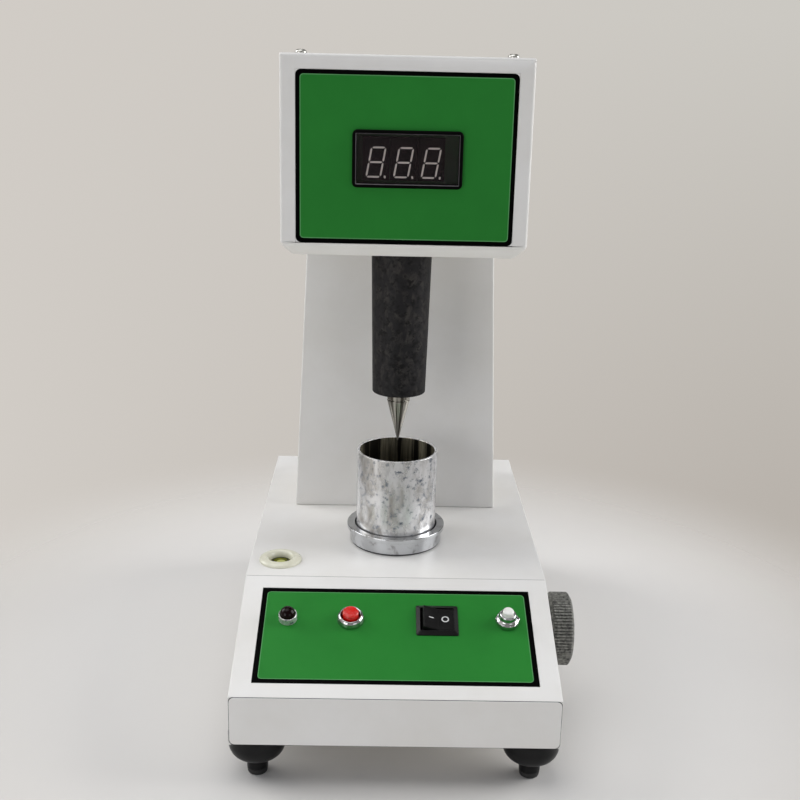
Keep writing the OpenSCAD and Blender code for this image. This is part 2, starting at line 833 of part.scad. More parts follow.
module measure_button_body() {
    collar_top = measure_collar_h - panel_sink;
    neck_r = measure_cap_d / 2 + 1.6;
    neck_h = 1.5;
    color(chrome) at_control(measure_x) {
        difference() {
            union() {
                translate([0, 0, -panel_sink]) cylinder(r = measure_collar_d / 2, h = measure_collar_h, $fn = 6);
                translate([0, 0, collar_top]) cylinder(r = neck_r, h = neck_h);
                translate([0, 0, -barrel_depth]) cylinder(r = measure_barrel_r, h = barrel_depth);
            }
            translate([0, 0, -well_depth])
                cylinder(r = measure_cap_d / 2 + slide_gap, h = well_depth + collar_top + neck_h + cut);
        }
        terminals(2.2, barrel_depth, 2.5, 5);
    }
}

module measure_button_cap() {
    top = measure_collar_h - panel_sink + measure_proud;
    r = measure_cap_d / 2;
    color([0.91, 0.91, 0.88]) at_control(measure_x) rotate_extrude() polygon([
        [0, -cap_foot], [r, -cap_foot], [r, top - 1], [r - 0.35, top - 0.35], [r - 1, top], [0, top]]);
}

module panel_nuts() {
    color(steel) {
        at_control(indicator_x) translate([0, 0, panel_back])
            hex_nut(indicator_barrel_r + 2.5, indicator_barrel_r, nut_t);
        at_control(reset_x) translate([0, 0, panel_back]) hex_nut(reset_barrel_r + 3, reset_barrel_r, nut_t);
        at_control(measure_x) translate([0, 0, panel_back]) hex_nut(measure_barrel_r + 3, measure_barrel_r, nut_t);
    }
}

module switch_frame() {
    well_w = switch_w - 2 * switch_wall;
    well_l = switch_body_l - 2 * switch_wall;
    color(black) at_control(switch_x) {
        difference() {
            union() {
                plate(switch_w, switch_l, -panel_sink, switch_rim_h - panel_sink);
                plate(switch_body_w, switch_body_l, -switch_depth, -panel_sink / 2);
            }
            plate(well_w, well_l, -switch_floor, switch_rim_h + cut);
            bar_y(-switch_l, switch_l, 0, rocker_pivot, rocker_pin_r + run_gap);
        }
        terminals(7, switch_depth, 4.8, 7);
    }
}

// Rocker with a dished face, tipped so that its right side is down, which is off.
module switch_rocker() {
    half = rocker_w / 2;
    color(black) at_control(switch_x) translate([0, 0, rocker_pivot]) rotate([0, rocker_tilt, 0]) {
        along_y(-rocker_l / 2, rocker_l / 2) polygon([
            [-half, rocker_edge - rocker_pivot], [0, rocker_dip - rocker_pivot],
            [half, rocker_edge - rocker_pivot],
            [half, 0], [half - rocker_bevel, -rocker_bevel], [rocker_bevel - half, -rocker_bevel],
            [-half, 0]]);
        bar_y(-switch_body_l / 2, switch_body_l / 2, 0, 0, rocker_pin_r);
    }
}

module level_ring() {
    r = level_d / 2;
    bore = level_window_d / 2;
    color([0.83, 0.82, 0.74]) translate([level_x, level_y, top_z]) difference() {
        rotate_extrude() polygon([
            [0, -level_body_h], [level_body_r, -level_body_h], [level_body_r, 0], [r, 0], [r, level_h - 2.2],
            [r - 0.7, level_h - 1.2], [r - 2.5, level_h - 0.5], [r - 5, level_h], [0, level_h]]);
        translate([0, 0, level_h - level_vial_h]) cylinder(r = bore + run_gap, h = level_vial_h + cut);
    }
}

module level_vial() {
    r = level_window_d / 2;
    color([0.6, 0.62, 0.25]) translate([level_x, level_y, top_z + level_h - level_vial_h])
        rotate_extrude() polygon([
            [0, 0], [r, 0], [r, level_vial_h - 1], [r - 1, level_vial_h - 0.6], [r / 2, level_vial_h - 0.2],
            [0, level_vial_h]]);
}

// Lift and its drive

module guide_bush() {
    flange_top = top_z + bush_flange_t;
    color(brass) difference() {
        union() {
            bar_z(bush_end_z, top_z, 0, 0, bush_r);
            bar_z(top_z, flange_top, 0, 0, bush_flange_r);
        }
        bar_z(bush_end_z - cut, flange_top + cut, 0, 0, post_d / 2 + run_gap);
        at_bush_screws(top_z - cut) cylinder(r = bush_screw_r + hole_gap, h = bush_flange_t + 2 * cut);
        block([-idler_slot, -bush_r - cut, bush_end_z - cut], [idler_slot, -post_d / 4, bracket_top - 1]);
    }
}

module bush_screws() {
    color(steel) at_bush_screws(top_z + bush_flange_t) {
        cylinder(r = bush_screw_head_r, h = bush_screw_head_h);
        translate([0, 0, bracket_top - top_z - bush_flange_t])
            cylinder(r = bush_screw_r, h = top_z + bush_flange_t - bracket_top);
    }
}

// Plate under the base's top with two cheeks that carry the shaft and the idler's pin.
module gear_bracket() {
    cheek = [
        [bracket_front_y, bracket_low_z], [bracket_front_y, bracket_front_z], [bend_y + 5, bracket_top + 0.5],
        [bracket_rear_y, bracket_top + 0.5], [bracket_rear_y, bracket_low_z]];
    color(steel) difference() {
        union() {
            block([-bracket_half_w, bend_y + 5, bracket_top], [bracket_half_w, bush_flange_r, ceiling_z]);
            for (side = [-1, 1]) translate([side * (cheek_x + bracket_t / 2), 0, 0])
                along_x(bracket_t) polygon(cheek);
        }
        bar_z(bracket_top - cut, ceiling_z + cut, 0, 0, bush_r + hole_gap);
        at_bush_screws(bracket_top - cut) cylinder(r = bush_screw_r + hole_gap, h = bracket_t + 2 * cut);
        bar_x(-base_w / 2, base_w / 2, drive_y, drive_z, shaft_d / 2 + run_gap);
        bar_x(-base_w / 2, base_w / 2, idler_y, drive_z, shaft_d / 2 + run_gap);
    }
}

module idler_pin() {
    outer = cheek_x + bracket_t;
    color(steel) {
        bar_x(-outer, outer + 1, idler_y, drive_z, shaft_d / 2);
        bar_x(-outer - pin_head_t, -outer, idler_y, drive_z, pin_head_r);
    }
}

module shaft_bush() {
    side_x = base_w / 2;
    color(brass) difference() {
        union() {
            bar_x(side_x - shaft_bush_len, side_x, drive_y, drive_z, shaft_bush_r);
            bar_x(side_x, side_x + shaft_bush_flange_t, drive_y, drive_z, shaft_bush_flange_r);
        }
        bar_x(side_x - shaft_bush_len - cut, side_x + shaft_bush_flange_t + cut, drive_y, drive_z,
            shaft_d / 2 + run_gap);
    }
}

module lift_shaft() {
    color(steel) bar_x(shaft_left, knob_x + shaft_socket, drive_y, drive_z, shaft_d / 2);
}

// Knob with a straight knurl between two bevelled rims.
module lift_knob() {
    r = knob_d / 2;
    rim_r = r - knurl_depth - knob_step;
    knurl = [for (i = [0:2 * knurl_count - 1])
        polar(r - (i % 2) * knurl_depth, 180 * i / knurl_count)];
    color([0.45, 0.45, 0.44]) translate([knob_x, drive_y, drive_z]) rotate([0, 90, 0]) difference() {
        union() {
            cylinder(r1 = rim_r - knob_rim, r2 = rim_r, h = knob_rim);
            translate([0, 0, knob_rim]) linear_extrude(knob_w - 2 * knob_rim) polygon(knurl);
            translate([0, 0, knob_w - knob_rim]) cylinder(r1 = rim_r, r2 = rim_r - knob_rim, h = knob_rim);
        }
        translate([0, 0, -cut]) cylinder(r = shaft_d / 2 + run_gap, h = shaft_socket + cut);
    }
}

module drive_pinion() {
    color(steel) translate([0, drive_y, drive_z]) difference() {
        union() {
            along_x(gear_w) polygon(gear_outline(pinion_r, pinion_teeth));
            bar_x(-hub_reach, hub_reach, 0, 0, pinion_hub_r);
        }
        bar_x(-hub_reach - cut, hub_reach + cut, 0, 0, shaft_d / 2 + run_gap);
    }
}

// Idler with a gap between teeth turned to the pinion.
module idler_gear() {
    color(brass) translate([0, idler_y, drive_z]) difference() {
        union() {
            along_x(gear_w) rotate(180 + 180 / idler_teeth) polygon(gear_outline(idler_r, idler_teeth));
            bar_x(-hub_reach, hub_reach, 0, 0, idler_hub_r);
        }
        bar_x(-hub_reach - cut, hub_reach + cut, 0, 0, shaft_d / 2 + run_gap);
    }
}

// Gaps between the rack's teeth, which point to the front.
module rack_gaps() {
    slant = tan(pressure);
    half_gap = tooth_pitch / 4 + backlash / 4;
    out = stub_add + cut;
    low = floor((post_end_z - drive_z) / tooth_pitch) - 1;
    high = ceil(rack_reach / tooth_pitch) - 1;
    for (k = [low:high]) {
        gap_z = drive_z + rack_shift + (k + 0.5) * tooth_pitch;
        along_x(2 * post_d) polygon([
            [rack_y - out, gap_z - half_gap - out * slant], [rack_y - out, gap_z + half_gap + out * slant],
            [rack_y + stub_ded, gap_z + half_gap - stub_ded * slant],
            [rack_y + stub_ded, gap_z - half_gap + stub_ded * slant]]);
    }
}

module lift_post() {
    post_top = platform_z + hollow_h;
    color(steel) difference() {
        union() {
            bar_z(post_end_z, post_top, 0, 0, post_d / 2);
            bar_z(post_top, post_top + post_spigot_h, 0, 0, post_spigot_r);
        }
        block([-post_d, -post_d, post_end_z - cut], [post_d, rack_tip_y, rack_top_z]);
        rack_gaps();
    }
}

module lift_platform() {
    edge = 0.5;
    color(chrome) difference() {
        rotate_extrude() polygon([
            [0, platform_z], [drum_d / 2 - edge, platform_z], [drum_d / 2, platform_z + edge],
            [drum_d / 2, flange_z], [platform_d / 2 - edge, flange_z], [platform_d / 2, flange_z + edge],
            [platform_d / 2, platform_top - edge], [platform_d / 2 - edge, platform_top], [0, platform_top]]);
        bar_z(seat_z, platform_top + cut, 0, 0, cup_od / 2 + slide_gap);
        bar_z(platform_z - cut, platform_z + hollow_h, 0, 0, hollow_r);
        bar_z(platform_z, platform_z + hollow_h + post_spigot_h, 0, 0, post_spigot_r + run_gap);
    }
}

module sample_cup() {
    edge = 0.4;
    r = cup_od / 2;
    bore = cup_bore_d / 2;
    color(chrome) rotate_extrude() polygon([
        [0, seat_z], [r - edge, seat_z], [r, seat_z + edge], [r, rim_z - edge], [r - edge, rim_z],
        [bore + edge, rim_z], [bore, rim_z - edge], [bore, seat_z + cup_floor], [0, seat_z + cup_floor]]);
}

// Cone and what guides, holds and measures it

module cone() {
    color(chrome) difference() {
        rotate_extrude() polygon([
            [0, tip_z], [cone_d / 2, shoulder_z], [cone_d / 2, collar_z - 0.4], [cone_d / 2 - 0.4, collar_z],
            [0, collar_z]]);
        bar_z(collar_z - rod_thread, collar_z + cut, 0, 0, rod_d / 4 + run_gap);
    }
}

// Rod with a screwed end in the cone, and a slim top in the sensor.
module cone_rod() {
    color(steel) rotate_extrude() polygon([
        [0, collar_z - rod_thread], [rod_d / 4, collar_z - rod_thread], [rod_d / 4, collar_z],
        [rod_d / 2, collar_z],
        [rod_d / 2, armature_z], [core_r, armature_z], [core_r, rod_top], [0, rod_top]]);
}

module cone_armature() {
    color(steel) difference() {
        bar_z(armature_z, armature_z + armature_t, 0, 0, armature_r);
        bar_z(armature_z - cut, armature_z + armature_t + cut, 0, 0, core_r + run_gap);
    }
}

module cone_sleeve() {
    r = sleeve_d / 2;
    top_r = sleeve_top_d / 2;
    color([0.19, 0.19, 0.19]) difference() {
        rotate_extrude() polygon([
            [0, sleeve_z], [r - 0.5, sleeve_z], [r, sleeve_z + 0.5], [top_r, head_z], [top_r, head_floor],
            [sleeve_flange_r, head_floor], [sleeve_flange_r, sleeve_top], [0, sleeve_top]]);
        bar_z(sleeve_z - cut, sleeve_top + cut, 0, 0, sleeve_bore / 2);
        at_sleeve_bolts(head_floor) bolt_hole();
    }
}

module sleeve_bushes() {
    color(brass) for (z = [sleeve_z + 1, sleeve_top - sleeve_bush_h]) difference() {
        bar_z(z, z + sleeve_bush_h, 0, 0, sleeve_bore / 2 - run_gap);
        bar_z(z - cut, z + sleeve_bush_h + cut, 0, 0, rod_d / 2 + run_gap);
    }
}

module holding_magnet() {
    color(steel) difference() {
        bar_z(magnet_z, magnet_top, 0, 0, magnet_d / 2);
        bar_z(magnet_z - cut, magnet_top + cut, 0, 0, core_r + core_gap);
    }
}

module magnet_bracket() {
    color(steel) difference() {
        union() {
            block([-carrier_x, -carrier_half_y, magnet_top], [carrier_x, carrier_half_y, sensor_z]);
            for (side = [-1, 1]) scale([side, 1, 1]) {
                block([carrier_x - carrier_t, -carrier_half_y, head_floor], [carrier_x, carrier_half_y, sensor_z]);
                block([carrier_x - carrier_t, -carrier_half_y, head_floor],
                    [carrier_x + carrier_foot, carrier_half_y, head_floor + carrier_t]);
            }
        }
        bar_z(magnet_top - cut, sensor_z + cut, 0, 0, core_r + core_gap);
    }
}

module depth_sensor() {
    color([0.3, 0.32, 0.35]) difference() {
        bar_z(sensor_z, sensor_top, 0, 0, sensor_r);
        bar_z(sensor_z - cut, sensor_top + cut, 0, 0, core_r + core_gap);
    }
}

// Column and head

module column_outline(low, high, inset) {
    polygon([
        [inset - column_half(low), low], [column_half(low) - inset, low],
        [column_half(high) - inset, high], [inset - column_half(high), high]]);
}

// Turned-in flange at one end of the column.
module column_flange(low, high) {
    inner = column_half(low) - sheet - flange_in;
    difference() {
        along_y(column_y, column_rear - 2 * sheet - lug_t) column_outline(low, high, sheet / 2);
        block([-inner, column_y + sheet + flange_in, low - cut], [inner, column_rear, high + cut]);
    }
}

module column_shell() {
    color(paint) difference() {
        union() {
            difference() {
                along_y(column_y, column_rear) column_outline(top_z, head_z, 0);
                along_y(column_y + sheet, column_rear + cut) column_outline(top_z - cut, head_z + cut, sheet);
            }
            column_flange(top_z, top_z + flange_plate);
            column_flange(head_z - flange_plate, head_z);
            for (side = [-1, 1], z = [column_lug_low, column_lug_high])
                translate([side * column_lug_x(z), column_rear - sheet - lug_t, z])
                    block([-lug / 2 - (1 - side) / 2, 0, -lug / 2], [lug / 2 + (1 + side) / 2, lug_t, lug / 2]);
        }
        at_lower_bolts(top_z) bolt_hole();
        at_upper_bolts(head_z) bolt_hole();
        screw_holes();
    }
}

module column_cover() {
    gap = sheet + seam;
    color(paint) difference() {
        along_y(column_rear - sheet, column_rear) column_outline(top_z + seam, head_z - seam, gap);
        screw_holes();
    }
}

module frame_bolts() {
    low_len = flange_plate + sheet + bolt_head_h + 1;
    color(steel) {
        at_lower_bolts(top_z + flange_plate) hex_bolt(low_len);
        at_lower_bolts(ceiling_z) hex_nut(bolt_head_r, bolt_r, bolt_head_h);
        at_upper_bolts(head_floor) hex_bolt(low_len);
        at_upper_bolts(head_z - flange_plate) hex_nut(bolt_head_r, bolt_r, bolt_head_h);
        at_sleeve_bolts(sleeve_top) hex_bolt(sleeve_flange_t + sheet);
    }
}

// Box of the head with slanted lower edges at its front and sides.
module head_block(inset, low, high) {
    half = head_w / 2 - inset;
    front = head_front + inset;
    bevel = head_chamfer - inset * (2 - sqrt(2));
    intersection() {
        along_y(front, column_rear - inset) polygon([
            [bevel - half, low], [half - bevel, low], [half, low + bevel], [half, high], [-half, high],
            [-half, low + bevel]]);
        along_x(head_w) polygon([
            [front + bevel, low], [column_rear, low], [column_rear, high], [front, high], [front, low + bevel]]);
    }
}

module head_shell() {
    window_w0 = head_panel_w + 2 * hole_gap;
    window_h0 = head_panel_h + 2 * hole_gap;
    ledge_back = panel_back - sheet;
    color(paint) difference() {
        union() {
            difference() {
                head_block(0, head_z, lid_z);
                head_block(sheet, head_floor, lid_z + cut);
            }
            on_front() difference() {
                plate(window_w0 + 2 * ledge_w, window_h0 + ledge_w, ledge_back, -sheet / 2);
                plate(window_w0 - 2 * ledge_w, window_h0 - 2 * ledge_w, ledge_back - cut, cut);
            }
            for (side = [-1, 1], y = [lid_screw_front, lid_screw_rear])
                translate([side * (lid_screw_x + lid_screw_inset / 4), y, lid_z - lug_t / 2])
                    cube([lid_screw_inset * 1.4, lug, lug_t], center = true);
        }
        on_front() plate(window_w0, window_h0, panel_back, cut);
        bar_z(head_z - cut, head_floor + cut, 0, 0, sleeve_top_d / 2 + hole_gap);
        bar_z(head_z - cut, head_floor + cut, 0, cable_y, cable_hole_r);
        at_sleeve_bolts(head_z) bolt_hole();
        at_upper_bolts(head_z) bolt_hole();
        screw_holes();
    }
}

module head_lid() {
    color(paint) difference() {
        block([-head_w / 2, head_front, lid_z], [head_w / 2, column_rear, lid_z + sheet]);
        screw_holes();
    }
}

module head_panel() {
    color(green) difference() {
        on_front() translate([0, 0, panel_back])
            linear_extrude(panel_t) round_rectangle(head_panel_w, head_panel_h, panel_r);
        at_display() plate(bezel_body_w + 2 * hole_gap, bezel_body_h + 2 * hole_gap, panel_back - cut, cut);
    }
}

module display_bezel() {
    color(black) at_display() difference() {
        union() {
            translate([0, 0, -panel_sink]) linear_extrude(bezel_proud + panel_sink)
                round_rectangle(bezel_w, bezel_h, bezel_r);
            plate(bezel_body_w, bezel_body_h, bezel_back, -panel_sink / 2);
        }
        plate(window_w, window_h, bezel_back - cut, bezel_proud + cut);
    }
}

module display_window() {
    color([0.12, 0.08, 0.07]) at_display()
        plate(window_w - 2 * hole_gap, window_h - 2 * hole_gap, window_back, window_front);
}

module at_digits() {
    at_display() translate([digit_shift, 0, 0])
        for (i = [-1:1]) translate([i * digit_pitch, 0, 0]) children();
}

module digit_modules() {
    color(black) at_digits() plate(module_w, module_h, module_front - module_t, module_front);
}

// One bar with pointed ends, leaning with the digit.
function lean(p) = [p.x + p.y * tan(digit_slant), p.y];
module segment(p, q) {
    along = (q - p) / norm(q - p);
    across = [-along.y, along.x] * segment_w / 2;
    tip = along * segment_gap;
    shoulder = along * (segment_gap + segment_w / 2);
    polygon([for (v = [p + tip, p + shoulder + across, q - shoulder + across, q - tip, q - shoulder - across,
        p + shoulder - across]) lean(v)]);
}

module digit_segments() {
    x = (digit_w - segment_w) / 2;
    y = (digit_h - segment_w) / 2;
    dot = [x + 2.6, -y];
    color([0.6, 0.56, 0.53]) at_digits() translate([0, 0, module_front]) linear_extrude(segment_t) {
        for (level = [-y, 0, y]) segment([-x, level], [x, level]);
        for (side = [-x, x], start = [-y, 0]) segment([side, start], [side, start + y]);
        translate(lean(dot)) circle(segment_w / 2 + 0.1);
    }
}

module display_board() {
    board_back = module_front - module_t - board_t;
    color([0.12, 0.35, 0.18]) at_display()
        plate(bezel_w + 8, bezel_h + 8, board_back, board_back + board_t);
}

// Electrics in the base

module transformer() {
    color([0.3, 0.28, 0.26]) translate([transformer_spot.x, transformer_spot.y, floor_z]) {
        plate(core_w, core_d, 0, core_h);
        plate(core_w * 0.6, coil_d, 6, core_h - 6);
        for (side = [-1, 1]) translate([side * (core_w / 2 + 4), 0, 0]) plate(10, core_d * 0.6, 0, 2);
    }
}

module main_board() {
    board_z = floor_z + spacer_h;
    color([0.12, 0.35, 0.18]) translate([board_spot.x, board_spot.y, board_z]) {
        plate(board_w, board_d, 0, board_t);
        translate([0, chip_d / 2, 0]) plate(chip_w, chip_d, board_t / 2, board_t + chip_h);
        translate([-board_w / 4, -board_d / 5, board_t / 2]) cylinder(r = large_can_r, h = large_can_h);
        translate([-board_w / 4, board_d / 9, board_t / 2]) cylinder(r = small_can_r, h = small_can_h);
        translate([board_w / 4, board_d / 3, 0]) plate(sink_w, sink_d, board_t / 2, board_t + sink_h);
    }
}

module board_spacers() {
    color(brass) for (x = [-1, 1], y = [-1, 1])
        translate([board_spot.x + x * (board_w / 2 - board_inset), board_spot.y + y * (board_d / 2 - board_inset),
            floor_z]) cylinder(r = spacer_r, h = spacer_h, $fn = 6);
}

// Mains inlet with a flange on the rear wall and three blades in its socket.
module mains_inlet() {
    mouth = rear_y + inlet_flange_t;
    socket_end = mouth - inlet_depth;
    color(black) translate([inlet_x, 0, inlet_z]) {
        difference() {
            union() {
                block([-inlet_w / 2, rear_y, -inlet_h / 2], [inlet_w / 2, mouth, inlet_h / 2]);
                block([-inlet_body_w / 2, mouth - inlet_body_depth, -inlet_body_h / 2],
                    [inlet_body_w / 2, mouth - inlet_flange_t / 2, inlet_body_h / 2]);
            }
            block([-socket_w / 2, socket_end, -socket_h / 2], [socket_w / 2, mouth + cut, socket_h / 2]);
        }
        for (blade = [[-7, -1], [7, -1], [0, 4]]) translate([blade.x, 0, blade.y])
            block([-1, socket_end - cut, -2], [1, mouth - 3, 2]);
    }
}

module fuse_holder() {
    cap_r = fuse_cap_d / 2;
    color(black) {
        bar_y(rear_y - fuse_body_len, rear_y, fuse_x, inlet_z, fuse_body_r);
        difference() {
            bar_y(rear_y, rear_y + fuse_cap_h, fuse_x, inlet_z, cap_r);
            translate([fuse_x, rear_y + fuse_cap_h, inlet_z]) block([-cap_r, -1.5, -0.6], [cap_r, cut, 0.6]);
        }
    }
}

placed() base_tray();
placed() base_cover();
placed() case_screws();
placed() foot_studs();
placed() control_panel();
placed() indicator_bezel();
placed() indicator_lens();
placed() reset_button_body();
placed() measure_button_body();
placed() panel_nuts();
placed() switch_frame();
placed() level_ring();
placed() level_vial();
placed() guide_bush();
placed() bush_screws();
placed() gear_bracket();
placed() idler_pin();
placed() shaft_bush();
placed() transformer();
placed() main_board();
placed() board_spacers();
placed() mains_inlet();
placed() fuse_holder();
placed() column_shell();
placed() column_cover();
placed() frame_bolts();
placed() head_shell();
placed() head_lid();
placed() head_panel();
placed() display_bezel();
placed() display_window();
placed() digit_modules();
placed() digit_segments();
placed() display_board();
placed() cone_sleeve();
placed() sleeve_bushes();
placed() holding_magnet();
placed() magnet_bracket();
placed() depth_sensor();
placed() lift_knob();
placed() lift_shaft();
placed() drive_pinion();
placed() idler_gear();
placed() lift_post();
placed() lift_platform();
placed() sample_cup();
placed() cone();
placed() cone_rod();
placed() cone_armature();
placed() reset_button_cap();
placed() measure_button_cap();
placed() switch_rocker();
for (i = [0:3]) {
    placed() foot_wheel(i);
    placed() foot_tip(i);
}
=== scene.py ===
"""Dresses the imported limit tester: painted sheet, printed panels, plated metal and moulded controls."""

import json
import logging
import math
from dataclasses import dataclass, field
from enum import Enum
from functools import partial
from typing import Optional, Sequence, Union

import bmesh
import bpy
from bmesh.types import BMesh, BMFace, BMVert
from bpy.types import Material, Node, NodeSocket, NodeTree, Object, Scene
from mathutils import Matrix, Vector
from mathutils.geometry import delaunay_2d_cdt


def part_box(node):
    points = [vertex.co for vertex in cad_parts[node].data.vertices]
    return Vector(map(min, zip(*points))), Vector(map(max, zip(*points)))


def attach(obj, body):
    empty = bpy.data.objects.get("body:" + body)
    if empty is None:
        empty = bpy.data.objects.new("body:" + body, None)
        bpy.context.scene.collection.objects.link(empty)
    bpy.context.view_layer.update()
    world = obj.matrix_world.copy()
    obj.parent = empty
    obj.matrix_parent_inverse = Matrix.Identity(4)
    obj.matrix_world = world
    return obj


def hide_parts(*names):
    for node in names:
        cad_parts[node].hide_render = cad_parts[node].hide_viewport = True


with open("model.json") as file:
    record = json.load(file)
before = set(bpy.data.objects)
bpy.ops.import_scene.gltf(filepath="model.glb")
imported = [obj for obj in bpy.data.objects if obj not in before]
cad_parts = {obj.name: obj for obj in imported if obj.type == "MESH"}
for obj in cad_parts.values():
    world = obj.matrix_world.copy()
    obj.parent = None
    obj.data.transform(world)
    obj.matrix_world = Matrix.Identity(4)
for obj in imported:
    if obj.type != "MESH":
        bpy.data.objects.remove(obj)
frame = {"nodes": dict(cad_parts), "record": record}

LOG = logging.getLogger("limit_tester")
MM = 0.001
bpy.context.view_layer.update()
SEED = 7
# Numbers of the Mix node's sockets, because their names repeat.
COLOUR_A, COLOUR_B, COLOUR_OUT = 6, 7, 2
FLOAT_A, FLOAT_B = 2, 3
# Radius in millimetres at which a pattern that is laid round an axis has its true scale.
AXIS_REACH = 7.5
# How a turning tool's lines are drawn out round the axis.
TOOL_LINES = (0.02, 0.02, 1.0)
COAT_ROUGHNESS = 0.08
# Points nearer than this are one, in metres.
WELD = 1e-6
# A fillet takes up to this part of a side, so that two never meet.
FILLET_SHARE = 2.05
# Angles in degrees: sheet faces closer than the first are one, and edges from the next up are rounded.
FLAT_ANGLE, EDGE_ANGLE, LOFT_EDGE_ANGLE = 0.5, 25.0, 30.0
# Sharpest angle in degrees that is shaded smooth, on turned pieces and on sheet.
SMOOTH_ANGLE, SHEET_SMOOTH_ANGLE = 32.0, 28.0
BEVEL_STEPS = 3
# Turn from lying flat to facing the front.
UPRIGHT = Matrix.Rotation(math.pi / 2, 4, "X")
# What the lamps point at, in metres.
LAMP_AIM = Vector((0, 0, 0.18))

Socket = Union[NodeSocket, float, int, str, tuple]
Profile = Sequence[tuple[float, ...]]
Seat = tuple[Vector, Vector]


# Nodes and colours


def linear(code: str) -> tuple[float, float, float, float]:
    """Turns an sRGB hex code into a linear colour.

    Args:
        code: Colour as #RRGGBB.

    Returns:
        Linear red, green and blue, with alpha 1.
    """
    channels = [int(code[i:i + 2], 16) / 255 for i in (1, 3, 5)]
    curve = [c / 12.92 if c <= 0.04045 else ((c + 0.055) / 1.055) ** 2.4 for c in channels]
    return (curve[0], curve[1], curve[2], 1.0)


def add(tree: NodeTree, kind: str, inputs: Optional[dict[Union[str, int], Socket]] = None,
        **settings: object) -> Node:
    """Adds a node with its settings, values and links.

    Args:
        tree: Node tree that gets the node.
        kind: Node type.
        inputs: Value or linked socket of each input, by its name or number.
        **settings: Properties of the node.

    Returns:
        The new node.
    """
    node = tree.nodes.new(kind)
    for key, value in settings.items():
        setattr(node, key, value)
    for key, value in (inputs or {}).items():
        if isinstance(value, NodeSocket):
            tree.links.new(value, node.inputs[key])
        else:
            node.inputs[key].default_value = value
    return node


def calc(tree: NodeTree, operation: str, first: Socket, second: Socket) -> NodeSocket:
    """Returns the result of a sum on two values."""
    return add(tree, "ShaderNodeMath", {0: first, 1: second}, operation=operation).outputs[0]


def blend(tree: NodeTree, share: Socket, first: Socket, second: Socket) -> NodeSocket:
    """Returns a mix of two colours, which is the second one where the share is 1."""
    mix = add(tree, "ShaderNodeMix", {0: share, COLOUR_A: first, COLOUR_B: second}, data_type="RGBA")
    return mix.outputs[COLOUR_OUT]


def ranged(tree: NodeTree, value: Socket, start: tuple[float, float] = (0.0, 1.0),
           end: tuple[float, float] = (0.0, 1.0), **settings: object) -> NodeSocket:
    """Maps a value from one range to another.

    Args:
        tree: Node tree.
        value: The value.
        start: Range of the value.
        end: Range of the result.
        **settings: Properties of the node.

    Returns:
        The result.
    """
    limits = {"From Min": start[0], "From Max": start[1], "To Min": end[0], "To Max": end[1]}
    return add(tree, "ShaderNodeMapRange", {"Value": value, **limits}, **settings).outputs["Result"]


def bearing(tree: NodeTree, parts: Node) -> NodeSocket:
    """Returns the angle round the z axis, from the front, of a point that is split into x, y and z."""
    front = calc(tree, "MULTIPLY", parts.outputs["Y"], -1.0)
    return calc(tree, "ARCTAN2", parts.outputs["X"], front)


# Finishes


class Relief(Enum):
    """What a surface's fine relief looks like."""

    NONE = "none"
    GRAIN = "grain"
    TURNED = "turned"


